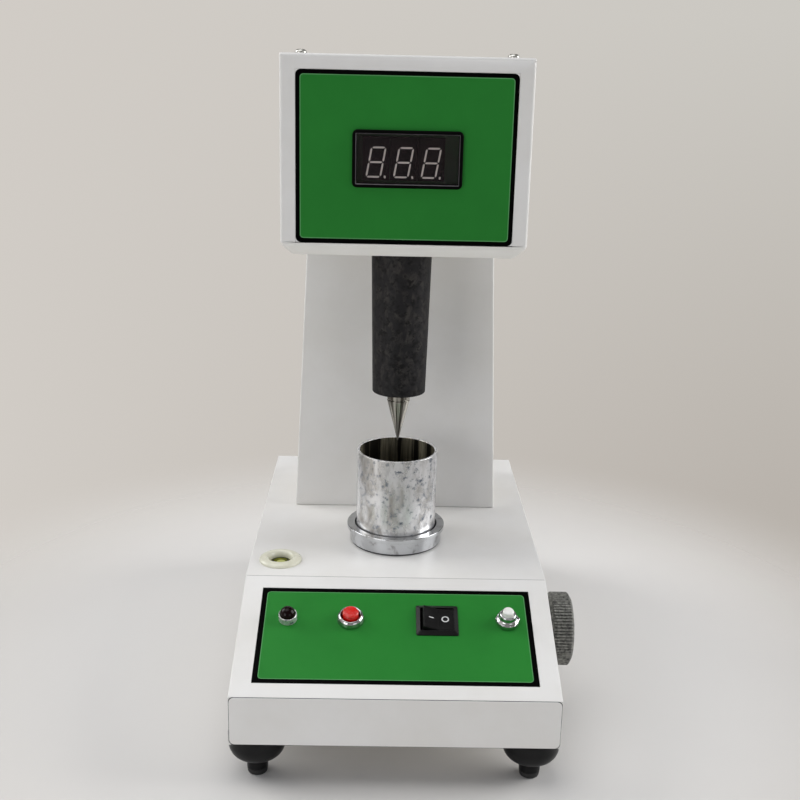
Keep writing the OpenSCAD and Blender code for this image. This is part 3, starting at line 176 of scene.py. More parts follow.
@dataclass(frozen=True)
class Finish:
    """A real material and how its surface was made. Sizes are in millimetres.

    The colour drifts to a second tone in patches, the roughness drifts with them, and a fine relief lies
    on top.
    """

    slot: str
    title: str
    colour: str
    second: str
    patch: float
    roughness: tuple[float, float]
    spread: tuple[float, float] = (0.35, 0.7)
    stretch: tuple[float, float, float] = (1.0, 1.0, 1.0)
    distortion: float = 0.0
    metallic: float = 0.0
    coat: float = 0.0
    relief: Relief = Relief.NONE
    relief_size: float = 1.0
    relief_depth: float = 0.02
    alpha: float = 1.0
    subsurface: float = 0.0
    specular: float = 0.5
    fleck: str = ""
    fleck_size: float = 1.5
    fleck_share: tuple[float, float] = (0.55, 0.66)
    axis: Optional[tuple[float, float]] = None

    def build(self) -> Material:
        """Makes the material.

        Returns:
            The material, named for what it is.
        """
        material = bpy.data.materials.new(self.title)
        material.use_nodes = True
        tree = material.node_tree
        shader = tree.nodes["Principled BSDF"]
        where = add(tree, "ShaderNodeTexCoord").outputs["Object"]
        spread = add(tree, "ShaderNodeMapping", {"Vector": self._laid(tree, where), "Scale": self.stretch})
        patches = add(tree, "ShaderNodeTexNoise", {
            "Vector": spread.outputs["Vector"], "Scale": 1 / (self.patch * MM), "Detail": 5.0,
            "Roughness": 0.6, "Distortion": self.distortion})
        tone = ranged(tree, patches.outputs["Fac"], self.spread)
        colour = blend(tree, tone, linear(self.colour), linear(self.second))
        if self.fleck:
            colour = self._flecks(tree, where, colour)
        tree.links.new(colour, shader.inputs["Base Color"])
        tree.links.new(ranged(tree, tone, end=self.roughness), shader.inputs["Roughness"])
        for name, value in (
                ("Metallic", self.metallic), ("Specular IOR Level", self.specular),
                ("Coat Weight", self.coat), ("Coat Roughness", COAT_ROUGHNESS), ("Alpha", self.alpha),
                ("Subsurface Weight", self.subsurface), ("Subsurface Radius", (2 * MM, MM, MM))):
            shader.inputs[name].default_value = value
        if self.relief is not Relief.NONE:
            self._raise(tree, where, shader)
        return material

    def _laid(self, tree: NodeTree, where: NodeSocket) -> NodeSocket:
        """Lays the pattern round an upright axis, so that its streaks meet at a tip.

        Args:
            tree: Node tree of the material.
            where: Object coordinates.

        Returns:
            Coordinates of the pattern, which are the object's own where there is no axis.
        """
        if self.axis is None:
            return where
        away = (-self.axis[0] * MM, -self.axis[1] * MM, 0.0)
        centred = add(tree, "ShaderNodeMapping", {"Vector": where, "Location": away})
        parts = add(tree, "ShaderNodeSeparateXYZ", {"Vector": centred.outputs["Vector"]})
        arc = calc(tree, "MULTIPLY", bearing(tree, parts), AXIS_REACH * MM)
        return add(tree, "ShaderNodeCombineXYZ", {"X": arc, "Z": parts.outputs["Z"]}).outputs["Vector"]

    def _flecks(self, tree: NodeTree, where: NodeSocket, colour: NodeSocket) -> NodeSocket:
        """Adds small specks of another tone over the colour.

        Args:
            tree: Node tree of the material.
            where: Object coordinates.
            colour: Colour under the specks.

        Returns:
            Colour with the specks.
        """
        specks = add(tree, "ShaderNodeTexNoise", {
            "Vector": where, "Scale": 1 / (self.fleck_size * MM), "Detail": 3.0, "Roughness": 0.7})
        share = ranged(tree, specks.outputs["Fac"], self.fleck_share)
        return blend(tree, share, colour, linear(self.fleck))

    def _raise(self, tree: NodeTree, where: NodeSocket, shader: Node) -> None:
        """Adds the relief: round grain, or lines left by a turning tool.

        Args:
            tree: Node tree of the material.
            where: Object coordinates.
            shader: Shader that takes the normal.
        """
        detail = 1.0
        if self.relief is Relief.TURNED:
            lines = add(tree, "ShaderNodeMapping", {"Vector": where, "Scale": TOOL_LINES})
            where = lines.outputs["Vector"]
            detail = 2.0
        source = add(tree, "ShaderNodeTexNoise", {
            "Vector": where, "Scale": 1 / (self.relief_size * MM), "Detail": detail})
        bump = add(tree, "ShaderNodeBump", {
            "Height": source.outputs["Fac"], "Distance": self.relief_depth * MM, "Strength": 1.0})
        tree.links.new(bump.outputs["Normal"], shader.inputs["Normal"])


FINISHES: tuple[Finish, ...] = (
    # Powder coat on sheet steel: pale and satin, with an orange-peel skin that is drawn coarser than it is.
    Finish("white_paint", "powder_coated_steel", "#E6E4E0", "#DFDCD6", 70.0, (0.36, 0.44),
           relief=Relief.GRAIN, relief_size=2.2, relief_depth=0.012),
    # Screen print on a lacquered aluminium plate: even colour with a low sheen.
    Finish("green_panel", "screen_printed_plate", "#287D2F", "#25772C", 45.0, (0.38, 0.46), specular=0.1,
           relief=Relief.GRAIN, relief_size=1.4, relief_depth=0.006),
    # Moulded ABS: near black, satin, with a spark-eroded grain.
    Finish("black_plastic", "moulded_abs", "#0A0A0B", "#111112", 12.0, (0.28, 0.42), specular=0.2,
           relief=Relief.GRAIN, relief_size=0.8, relief_depth=0.012),
    # Blackened steel tube with handling marks: charcoal blotches drawn out along the tube.
    Finish("sleeve_black", "blackened_steel", "#1C1B1D", "#3B3835", 4.5, (0.5, 0.66), spread=(0.46, 0.72),
           stretch=(1.0, 1.0, 0.6), distortion=0.6, specular=0.2, fleck="#0A090B", fleck_size=3.2,
           fleck_share=(0.5, 0.62), relief=Relief.GRAIN, relief_size=1.8, relief_depth=0.05),
    # Chromium plating: a mirror with dull water marks.
    Finish("chrome", "chromium_plate", "#BFC1C4", "#99999A", 6.5, (0.06, 0.2), spread=(0.54, 0.66),
           distortion=0.4, metallic=1.0, relief=Relief.TURNED, relief_size=0.9, relief_depth=0.004),
    # Ground and polished steel: bright grey, with the lathe's fine rings.
    Finish("steel", "turned_steel", "#C3C2BF", "#A9A7A2", 9.0, (0.14, 0.26), metallic=1.0,
           relief=Relief.TURNED, relief_size=0.7, relief_depth=0.006),
    # Bright zinc on pressed steel: a soft silver sheen.
    Finish("zinc_steel", "zinc_plated_steel", "#C4C4C0", "#A8A8A4", 5.0, (0.22, 0.38), metallic=1.0),
    # Turned brass: warm yellow with fine rings.
    Finish("brass", "turned_brass", "#C9A659", "#B18E45", 8.0, (0.18, 0.32), metallic=1.0,
           relief=Relief.TURNED, relief_size=0.8, relief_depth=0.006),
    # Knurled aluminium, dulled by hands: grey with darker grime between the ribs.
    Finish("knob_metal", "knurled_aluminium", "#92928C", "#4E4E4B", 2.0, (0.42, 0.6), spread=(0.38, 0.64),
           metallic=0.45, relief=Relief.GRAIN, relief_size=0.9, relief_depth=0.03),
    # Moulded red cap with a gloss.
    Finish("red_plastic", "moulded_red_nylon", "#D81C14", "#C8160F", 6.0, (0.22, 0.3), coat=0.3,
           subsurface=0.08),
    # Moulded ivory-white cap with a gloss.
    Finish("white_plastic", "moulded_white_nylon", "#EDECE6", "#E2E1DA", 5.0, (0.22, 0.32), coat=0.2,
           subsurface=0.08),
    # Unlit indicator: clear red plastic that looks almost black.
    Finish("red_lens", "clear_red_acrylic", "#0B0203", "#150304", 4.0, (0.04, 0.07), specular=0.14),
    # Level's ring of moulded urea: creamy, with a soft gloss.
    Finish("cream_plastic", "moulded_urea", "#DFDDC9", "#D3D0BB", 10.0, (0.24, 0.34), coat=0.25),
    # Level's vial: clear acrylic over a yellow-green spirit.
    Finish("level_glass", "spirit_under_acrylic", "#686A14", "#4C4E0E", 4.0, (0.16, 0.24), specular=0.06),
    # Smoked acrylic window over the digits.
    Finish("smoked_window", "smoked_acrylic", "#30262A", "#2A211F", 16.0, (0.08, 0.14), alpha=0.25,
           specular=0.25),
    # Unlit segments: diffuse grey-beige resin.
    Finish("segment_grey", "diffuser_resin", "#E6DAD2", "#D8CCC4", 6.0, (0.5, 0.6)),
    # Glass-fibre circuit board with a green solder mask.
    Finish("board_green", "solder_mask_board", "#1D5A30", "#174A27", 8.0, (0.3, 0.4), coat=0.2),
    # Varnished iron laminations: brown-black with a dull metal sheen.
    Finish("core_iron", "varnished_iron", "#4A4540", "#38342F", 6.0, (0.4, 0.55), metallic=0.4),
    # Soft rubber tips: matt and almost black.
    Finish("rubber", "moulded_rubber", "#1B1B1B", "#242424", 6.0, (0.6, 0.75),
           relief=Relief.GRAIN, relief_size=0.8, relief_depth=0.02),
)

# Printed borders: a black that lies flat on the plate, and a thin pale line inside it.
PRINT_BLACK = Finish("green_panel", "black_screen_print", "#020202", "#050505", 25.0, (0.36, 0.44),
                     specular=0.02)
PRINT_PALE = Finish("green_panel", "pale_screen_print", "#5E9C63", "#57935B", 25.0, (0.38, 0.46),
                    specular=0.1)
# Plating on the cup and the indicator: chromium gone dull in patches, with bluish stains, so that it
# mirrors only softly.
WORN_CHROME = Finish("chrome", "worn_chromium_plate", "#EDEDEE", "#A9A6A1", 10.0, (0.2, 0.34),
                     spread=(0.44, 0.66), stretch=(1.0, 1.0, 0.5), distortion=0.5, metallic=0.62,
                     fleck="#707985", fleck_size=3.4, fleck_share=(0.54, 0.68),
                     relief=Relief.GRAIN, relief_size=2.2, relief_depth=0.03)
# Bored inside of the cup: grey metal with bright and near-black streaks along the axis, painted reflections.
BORE_PAINTED_STREAKS = Finish("chrome", "honed_steel_bore", "#BDB59C", "#1C1914", 7.1, (0.24, 0.36), spread=(0.39, 0.56),
                  stretch=(1.0, 1.0, 0.04), metallic=0.7)
# Ground cone: grey steel with bright and dark streaks that meet at the tip, painted reflections of the room.
CONE_PAINTED_STREAKS = Finish("steel", "ground_steel", "#DAD6CC", "#413D35", 5.0, (0.24, 0.34), spread=(0.43, 0.55),
                    stretch=(1.0, 1.0, 0.03), metallic=0.6, axis=(-7.0, -9.5))
# Display's frame: ABS with a matt grain, blacker than the switch.
MATT_ABS = Finish("black_plastic", "matt_abs", "#030303", "#060606", 8.0, (0.45, 0.55), specular=0.04)
# End of the knob: faced aluminium, smoother than its rim.
FACED_ALUMINIUM = Finish("knob_metal", "faced_aluminium", "#8C8C87", "#777773", 9.0, (0.34, 0.46),
                         metallic=0.6)
# Lip of the display's frame: a grey painted highlight along its edge.
LIP_HIGHLIGHT = Finish("black_plastic", "rubbed_abs", "#5C575C", "#3A373B", 4.0, (0.2, 0.3))
# Grey line along the bend of the cover: painted shade in the crease.
FOLD_SHADE_GREY = Finish("white_paint", "worn_powder_coat", "#A5A39E", "#94928D", 30.0, (0.4, 0.5))
# White ink on the rocker, black ink on the vial, and the bubble under it.
PRINT_WHITE = Finish("black_plastic", "white_pad_print", "#D8D8D6", "#C9C9C7", 6.0, (0.4, 0.5))
VIAL_BLACK = Finish("level_glass", "black_vial_mark", "#12130A", "#191A0E", 6.0, (0.3, 0.4), specular=0.05)
VIAL_BUBBLE = Finish("level_glass", "air_bubble", "#BEC074", "#A6A858", 3.0, (0.14, 0.2), specular=0.15)

Look = Union[str, Finish]


class Paintbox:
    """All the materials of the object, by the record's slot or by the finish itself."""

    def __init__(self) -> None:
        """Starts with one material for each slot."""
        self.made = {finish.slot: finish.build() for finish in FINISHES}

    def of(self, look: Look) -> Material:
        """Returns the material of a slot, or of a finish that has no slot of its own.

        Args:
            look: Slot or finish.

        Returns:
            Its material, which a finish gets on first use.
        """
        if isinstance(look, str):
            return self.made[look]
        if look.title not in self.made:
            self.made[look.title] = look.build()
        return self.made[look.title]

    def dress_nodes(self) -> None:
        """Gives every CAD node the material of its slot."""
        for subpart in frame["record"]["subparts"]:
            node = frame["nodes"][subpart["node"]]
            node.data.materials.clear()
            node.data.materials.append(self.of(subpart["material_slot"]))

    def fit(self, piece: Object, body: str, slot: str, *nodes: str, looks: Sequence[Look] = ()) -> None:
        """Paints a piece and lets it ride on its body, in its slot, in place of its CAD nodes.

        Args:
            piece: The piece.
            body: CAD body.
            slot: Material slot in the record.
            *nodes: CAD nodes that it stands for.
            looks: Looks in the order of the faces' material numbers, or none for the slot's own.
        """
        slots = piece.data.materials
        for number, look in enumerate(looks or (slot,)):
            if number < len(slots):
                slots[number] = self.of(look)
            else:
                slots.append(self.of(look))
        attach(piece, body)
        if nodes:
            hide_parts(*nodes)
        LOG.info("piece %s on %s", piece.name, body)


# Mesh helpers


def to_object(name: str, bm: BMesh, place: Matrix = Matrix.Identity(4)) -> Object:
    """Makes a scene object of a bmesh, with its place in its mesh.

    Args:
        name: Name of the piece.
        bm: Its mesh, which is freed.
        place: Where it goes in the row frame.

    Returns:
        The object, at the origin.
    """
    bm.transform(place)
    mesh = bpy.data.meshes.new(name)
    bm.to_mesh(mesh)
    bm.free()
    piece = bpy.data.objects.new(name, mesh)
    bpy.context.scene.collection.objects.link(piece)
    return piece


def copy_of(node: str) -> BMesh:
    """Copies the mesh of a CAD node, with its doubled points made one.

    Args:
        node: CAD node.

    Returns:
        The copy.
    """
    bm = bmesh.new()
    bm.from_mesh(frame["nodes"][node].data)
    bmesh.ops.remove_doubles(bm, verts=bm.verts, dist=WELD)
    return bm


def plain(piece: Object) -> None:
    """Turns what a piece's modifiers give into its own mesh and removes them.

    Args:
        piece: The piece.
    """
    bpy.context.view_layer.update()
    evaluated = piece.evaluated_get(bpy.context.evaluated_depsgraph_get())
    mesh = bpy.data.meshes.new_from_object(evaluated)
    piece.modifiers.clear()
    piece.data = mesh
    mesh.name = piece.name


def smooth(piece: Object, angle: float = SMOOTH_ANGLE) -> None:
    """Shades a piece smooth up to an angle, with flat faces kept flat.

    Args:
        piece: The piece.
        angle: Sharpest angle that is still smooth, in degrees.
    """
    piece.data.shade_smooth()
    piece.data.set_sharp_from_angle(angle=math.radians(angle))
    normals = piece.modifiers.new("normals", "WEIGHTED_NORMAL")
    normals.keep_sharp = True
    plain(piece)


def islands(bm: BMesh) -> list[list[BMVert]]:
    """Splits a mesh into its connected pieces.

    Args:
        bm: The mesh.

    Returns:
        Vertices of each piece.
    """
    left = dict.fromkeys(bm.verts)
    found = []
    while left:
        first = next(iter(left))
        del left[first]
        island, edge = [first], [first]
        while edge:
            vert = edge.pop()
            near = [e.other_vert(vert) for e in vert.link_edges if e.other_vert(vert) in left]
            for other in near:
                del left[other]
            island.extend(near)
            edge.extend(near)
        found.append(island)
    return found


def face_width(face: BMFace) -> float:
    """Returns the width of a face as if it were a strip, in metres."""
    return 2 * face.calc_area() / max(face.calc_perimeter(), 1e-9)


def softened(node: str, name: str, fold: float, cut: float, thin: float = 3.0,
             joint: Optional[float] = None) -> Object:
    """Copies a CAD node and rounds its outer edges: wide at folds, narrow at the cut edges of the sheet.

    Args:
        node: CAD node.
        name: Name of the new piece.
        fold: Rounding of edges between wide faces, in millimetres.
        cut: Rounding of edges at narrow faces, in millimetres.
        thin: Faces up to this width count as narrow, in millimetres.
        joint: Height in metres where it meets a flush neighbour and stays sharp.

    Returns:
        The rounded copy.
    """
    bm = copy_of(node)
    bmesh.ops.dissolve_limit(bm, angle_limit=math.radians(FLAT_ANGLE), verts=bm.verts, edges=bm.edges)
    weight = bm.edges.layers.float.new("bevel_weight_edge")
    for edge in bm.edges:
        if len(edge.link_faces) != 2 or not edge.is_convex:
            continue
        if edge.calc_face_angle(0.0) < math.radians(EDGE_ANGLE):
            continue
        if joint is not None and all(abs(v.co.z - joint) < 1e-5 for v in edge.verts):
            continue
        narrow = min(face_width(face) for face in edge.link_faces) < thin * MM
        edge[weight] = cut / fold if narrow else 1.0
    piece = to_object(name, bm)
    bevel = piece.modifiers.new("rounding", "BEVEL")
    bevel.width = fold * MM
    bevel.segments = BEVEL_STEPS
    bevel.limit_method = "WEIGHT"
    bevel.use_clamp_overlap = False
    bevel.miter_outer = "MITER_ARC"
    smooth(piece, SHEET_SMOOTH_ANGLE)
    return piece


@dataclass(frozen=True)
class Corner:
    """Corner of a turned profile in millimetres: radius, height and the fillet there."""

    r: float
    z: float
    fillet: float = 0.0


def filleted(profile: Sequence[Corner], steps: int = 5) -> list[Vector]:
    """Rounds the corners of a profile.

    Args:
        profile: Corners in order.
        steps: Segments of each fillet.

    Returns:
        Points as radius and height, in millimetres.
    """
    points: list[Vector] = []
    for i, corner in enumerate(profile):
        here = Vector((corner.r, corner.z))
        if corner.fillet <= 0 or i in (0, len(profile) - 1):
            points.append(here)
            continue
        back = Vector((profile[i - 1].r, profile[i - 1].z)) - here
        ahead = Vector((profile[i + 1].r, profile[i + 1].z)) - here
        reach = min(corner.fillet, back.length / FILLET_SHARE, ahead.length / FILLET_SHARE)
        start = here + back.normalized() * reach
        end = here + ahead.normalized() * reach
        for step in range(steps + 1):
            t = step / steps
            points.append(start * (1 - t) ** 2 + here * 2 * t * (1 - t) + end * t ** 2)
    return points


def dome(radius: float, base: float, height: float, steps: int = 10) -> Profile:
    """Returns the profile of a domed top.

    Args:
        radius: Radius at the rim.
        base: Height of the rim.
        height: How far the dome rises.
        steps: Segments of the curve.

    Returns:
        Corners from the rim in to the axis.
    """
    angles = [math.pi / 2 * k / steps for k in range(steps)]
    curve = [(radius * math.cos(a), base + height * math.sin(a)) for a in angles]
    return [*curve, (0.0, base + height)]


def turned(name: str, profile: Profile, place: Matrix = Matrix.Identity(4), around: int = 96) -> Object:
    """Spins a profile round its axis into a closed piece.

    Args:
        name: Name of the piece.
        profile: Radius, height and fillet of each corner, from the axis back to the axis, or a closed ring
            where the first and last have a radius.
        place: Where the axis goes in the row frame.
        around: Steps round the axis.

    Returns:
        The piece.
    """
    bm = bmesh.new()
    angles = [2 * math.pi * k / around for k in range(around)]
    rings: list[list[BMVert]] = []
    for point in filleted([Corner(*corner) for corner in profile]):
        reach, height = point.x * MM, point.y * MM
        if reach < WELD * MM:
            rings.append([bm.verts.new((0, 0, height))])
        else:
            rings.append([bm.verts.new((reach * math.cos(a), reach * math.sin(a), height)) for a in angles])
    pairs = list(zip(rings, rings[1:]))
    if len(rings[0]) > 1:
        pairs.append((rings[-1], rings[0]))
    for low, high in pairs:
        for k in range(around):
            after = (k + 1) % around
            corners = [low[k % len(low)], low[after % len(low)], high[after % len(high)], high[k % len(high)]]
            unique = list(dict.fromkeys(corners))
            if len(unique) > 2:
                bm.faces.new(unique)
    bmesh.ops.recalc_face_normals(bm, faces=bm.faces)
    piece = to_object(name, bm, place)
    smooth(piece)
    return piece


def rounded_rectangle(width: float, height: float, radius: float, centre: tuple[float, float] = (0.0, 0.0),
                      steps: int = 6, inset: float = 0.0) -> list[Vector]:
    """Returns the outline of a rectangle with round corners, counter-clockwise.

    Args:
        width: Width.
        height: Height.
        radius: Radius of the corners.
        centre: Middle of the rectangle.
        steps: Segments of each corner.
        inset: How far each side is drawn in.

    Returns:
        Points of the outline.
    """
    reach = ((width - 2 * inset) / 2 - radius, (height - 2 * inset) / 2 - radius)
    points = []
    for turn, (right, up) in enumerate(((1, 1), (-1, 1), (-1, -1), (1, -1))):
        for step in range(steps + 1):
            angle = math.radians(90 * (turn + step / steps))
            points.append(Vector((centre[0] + right * reach[0] + radius * math.cos(angle),
                                  centre[1] + up * reach[1] + radius * math.sin(angle))))
    return points


def circle(radius: float, centre: tuple[float, float], steps: int = 48) -> list[Vector]:
    """Returns the outline of a circle, counter-clockwise."""
    return [Vector((centre[0] + radius * math.cos(2 * math.pi * k / steps),
                    centre[1] + radius * math.sin(2 * math.pi * k / steps))) for k in range(steps)]


def inside(point: Vector, outline: Sequence[Vector]) -> bool:
    """Says whether a point lies inside an outline.

    Args:
        point: The point.
        outline: Corners of the outline in order.

    Returns:
        True if the point is inside.
    """
    hit = False
    for a, b in zip(outline, list(outline[1:]) + [outline[0]]):
        if (a.y > point.y) != (b.y > point.y) and point.x < a.x + (point.y - a.y) * (b.x - a.x) / (b.y - a.y):
            hit = not hit
    return hit


def stacked(*layers: tuple[Sequence[Vector], float]) -> list[list[Vector]]:
    """Returns flat outlines, each at its height."""
    return [[Vector((p.x, p.y, z)) for p in outline] for outline, z in layers]


def lofted(name: str, loops: Sequence[Sequence[Vector]], place: Matrix = Matrix.Identity(4),
           ring: bool = False, rounding: float = 0.0) -> Object:
    """Bridges outlines of equal point count, in millimetres, into a closed piece.

    Args:
        name: Name of the piece.
        loops: Outlines in order, each with its points in space.
        place: Where the piece goes in the row frame.
        ring: True to join the last outline to the first, False to cap both ends.
        rounding: Bevel of the sharp edges, in millimetres.

    Returns:
        The piece.
    """
    bm = bmesh.new()
    rows = [[bm.verts.new(p * MM) for p in loop] for loop in loops]
    pairs = list(zip(rows, rows[1:])) + ([(rows[-1], rows[0])] if ring else [])
    for low, high in pairs:
        for k, vert in enumerate(low):
            after = (k + 1) % len(low)
            bm.faces.new((vert, low[after], high[after], high[k]))
    if not ring:
        bm.faces.new(list(reversed(rows[0])))
        bm.faces.new(rows[-1])
    bmesh.ops.recalc_face_normals(bm, faces=bm.faces)
    piece = to_object(name, bm, place)
    if rounding > 0:
        bevel = piece.modifiers.new("rounding", "BEVEL")
        bevel.width = rounding * MM
        bevel.segments = BEVEL_STEPS
        bevel.angle_limit = math.radians(LOFT_EDGE_ANGLE)
    smooth(piece)
    return piece


def zone(piece: Object, axis: Vector, reach: tuple[float, float], height: tuple[float, float]) -> None:
    """Gives the faces in a ring-shaped zone round an upright axis the piece's second material.

    Args:
        piece: The piece.
        axis: A point on the axis.
        reach: Smallest and largest radius, in millimetres.
        height: Lowest and highest place, in millimetres.
    """
    for face in piece.data.polygons:
        radius = math.hypot(face.center.x - axis.x, face.center.y - axis.y) / MM
        if reach[0] < radius < reach[1] and height[0] < face.center.z / MM < height[1]:
            face.material_index = 1


def middle(node: str) -> Vector:
    """Returns the middle of a CAD node's box."""
    low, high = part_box(node)
    return (low + high) / 2


def levels(node: str) -> tuple[float, float]:
    """Returns the lowest and the highest place of a CAD node, in millimetres."""
    low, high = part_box(node)
    return low.z / MM, high.z / MM


def upright(node: str, height: float = 0.0) -> Matrix:
    """Returns the frame on a CAD node's upright axis, at a height in metres."""
    spot = middle(node)
    return Matrix.Translation((spot.x, spot.y, height))


# Geometry node trees


class NodeTool:
    """A geometry node tree with named inputs, which is run once on a piece."""

    def __init__(self, name: str, values: dict[str, tuple[str, object]]) -> None:
        """Makes the tree with its inputs.

        Args:
            name: Name of the tree.
            values: Socket type and value of each input, by its name.
        """
        self.tree = bpy.data.node_groups.new(name, "GeometryNodeTree")
        sockets = self.tree.interface
        for side in ("INPUT", "OUTPUT"):
            sockets.new_socket(name="Geometry", in_out=side, socket_type="NodeSocketGeometry")
        self.values: dict[str, object] = {}
        for key, (kind, value) in values.items():
            socket = sockets.new_socket(name=key, in_out="INPUT", socket_type=kind)
            self.values[socket.identifier] = value
        self.entry = add(self.tree, "NodeGroupInput")

    def run(self, piece: Object, geometry: NodeSocket) -> None:
        """Ends the tree, so that instances become real and get their finish, and runs it on a piece.

        Args:
            piece: The piece, which takes the result as its mesh.
            geometry: What the tree made.
        """
        real = add(self.tree, "GeometryNodeRealizeInstances", {"Geometry": geometry})
        painted = add(self.tree, "GeometryNodeSetMaterial", {
            "Geometry": real.outputs["Geometry"], "Material": self.entry.outputs["Finish"]})
        add(self.tree, "NodeGroupOutput", {"Geometry": painted.outputs["Geometry"]})
        modifier = piece.modifiers.new("tool", "NODES")
        modifier.node_group = self.tree
        for identifier, value in self.values.items():
            modifier[identifier] = value
        plain(piece)


@dataclass
class RingOfRibs:
    """Repeats a rib round the z axis and joins the ribs to the piece that carries them."""

    count: int
    radius: float

    def apply(self, core: Object, rib: Object, material: Material) -> None:
        """Adds the ribs to a core.

        Args:
            core: Piece with its axis on z.
            rib: Rib that points outwards along x.
            material: Material of the whole.
        """
        tool = NodeTool("ring_of_ribs", {
            "Count": ("NodeSocketInt", self.count), "Radius": ("NodeSocketFloat", self.radius * MM),
            "Rib": ("NodeSocketObject", rib), "Finish": ("NodeSocketMaterial", material)})
        tree, given = tool.tree, tool.entry.outputs
        points = add(tree, "GeometryNodeMeshCircle", {"Vertices": given["Count"], "Radius": given["Radius"]})
        number = add(tree, "GeometryNodeInputIndex").outputs["Index"]
        angle = calc(tree, "MULTIPLY", calc(tree, "DIVIDE", number, given["Count"]), 2 * math.pi)
        turn = add(tree, "ShaderNodeCombineXYZ", {"Z": angle})
        shape = add(tree, "GeometryNodeObjectInfo", {"Object": given["Rib"]})
        ribs = add(tree, "GeometryNodeInstanceOnPoints", {
            "Points": points.outputs["Mesh"], "Instance": shape.outputs["Geometry"],
            "Rotation": turn.outputs["Vector"]})
        joined = add(tree, "GeometryNodeJoinGeometry")
        for source in (ribs.outputs["Instances"], given["Geometry"]):
            tree.links.new(source, joined.inputs["Geometry"])
        tool.run(core, joined.outputs["Geometry"])
        bpy.data.objects.remove(rib)


@dataclass
class Scattered:
    """Sets one shape on points, each facing its own way and turned at random about its axis."""

    name: str
    seed: int = SEED

    def apply(self, seats: Sequence[Seat], shape: Object, material: Material) -> Object:
        """Makes one mesh of all the copies.

        Args:
            seats: Place and outward direction of each copy.
            shape: Shape with its seat at z = 0.
            material: Material of the copies.

        Returns:
            The piece.
        """
        tool = NodeTool(self.name, {
            "Shape": ("NodeSocketObject", shape), "Seed": ("NodeSocketInt", self.seed),
            "Finish": ("NodeSocketMaterial", material)})
        tree, given = tool.tree, tool.entry.outputs
        facing = add(tree, "GeometryNodeInputNamedAttribute", {"Name": "facing"}, data_type="FLOAT_VECTOR")
        aim = add(tree, "FunctionNodeAlignRotationToVector", {
            "Vector": [s for s in facing.outputs if s.enabled][0]}, axis="Z")
        copy = add(tree, "GeometryNodeObjectInfo", {"Object": given["Shape"]})
        placed = add(tree, "GeometryNodeInstanceOnPoints", {
            "Points": given["Geometry"], "Instance": copy.outputs["Geometry"],
            "Rotation": aim.outputs["Rotation"]})
        chance = add(tree, "FunctionNodeRandomValue", {"Seed": given["Seed"]}, data_type="FLOAT")
        turn = calc(tree, "MULTIPLY", [s for s in chance.outputs if s.enabled][0], 2 * math.pi)
        spin = add(tree, "ShaderNodeCombineXYZ", {"Z": turn})
        spun = add(tree, "GeometryNodeRotateInstances", {
            "Instances": placed.outputs["Instances"], "Rotation": spin.outputs["Vector"]})
        mesh = bpy.data.meshes.new(self.name)
        mesh.from_pydata([place for place, _ in seats], [], [])
        directions = mesh.attributes.new("facing", "FLOAT_VECTOR", "POINT")
        for item, (_, direction) in zip(directions.data, seats):
            item.vector = direction
        piece = bpy.data.objects.new(self.name, mesh)
        bpy.context.scene.collection.objects.link(piece)
        tool.run(piece, spun.outputs["Instances"])
        bpy.data.objects.remove(shape)
        return piece


# Sub-assemblies


@dataclass
class Slope:
    """The sloping face of the base, as a frame: x to the right, y up it from its middle, z out of it."""

    front_height: float = 31.0
    run: float = 90.0

    def frame(self) -> Matrix:
        """Finds the frame of the slope from the cover's box.

        Returns:
            The frame, in the row frame.
        """
        low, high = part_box("base_cover")
        front = Vector(((low.x + high.x) / 2, low.y, low.z + self.front_height * MM))
        bend = Vector((front.x, low.y + self.run * MM, high.z))
        up = (bend - front).normalized()
        out = Vector((1, 0, 0)).cross(up)
        turn = Matrix((Vector((1, 0, 0)), up, out)).transposed().to_4x4()
        return Matrix.Translation((front + bend) / 2) @ turn

    def at(self, node: str, line: float) -> Matrix:
        """Returns the frame of one control on the slope.

        Args:
            node: CAD node that gives its place across the slope.
            line: Height of the controls' line above the middle, in millimetres.

        Returns:
            Frame with its origin on the painted face.
        """
        base = self.frame()
        across = middle(node).x - base.translation.x
        return base @ Matrix.Translation((across, line * MM, 0))


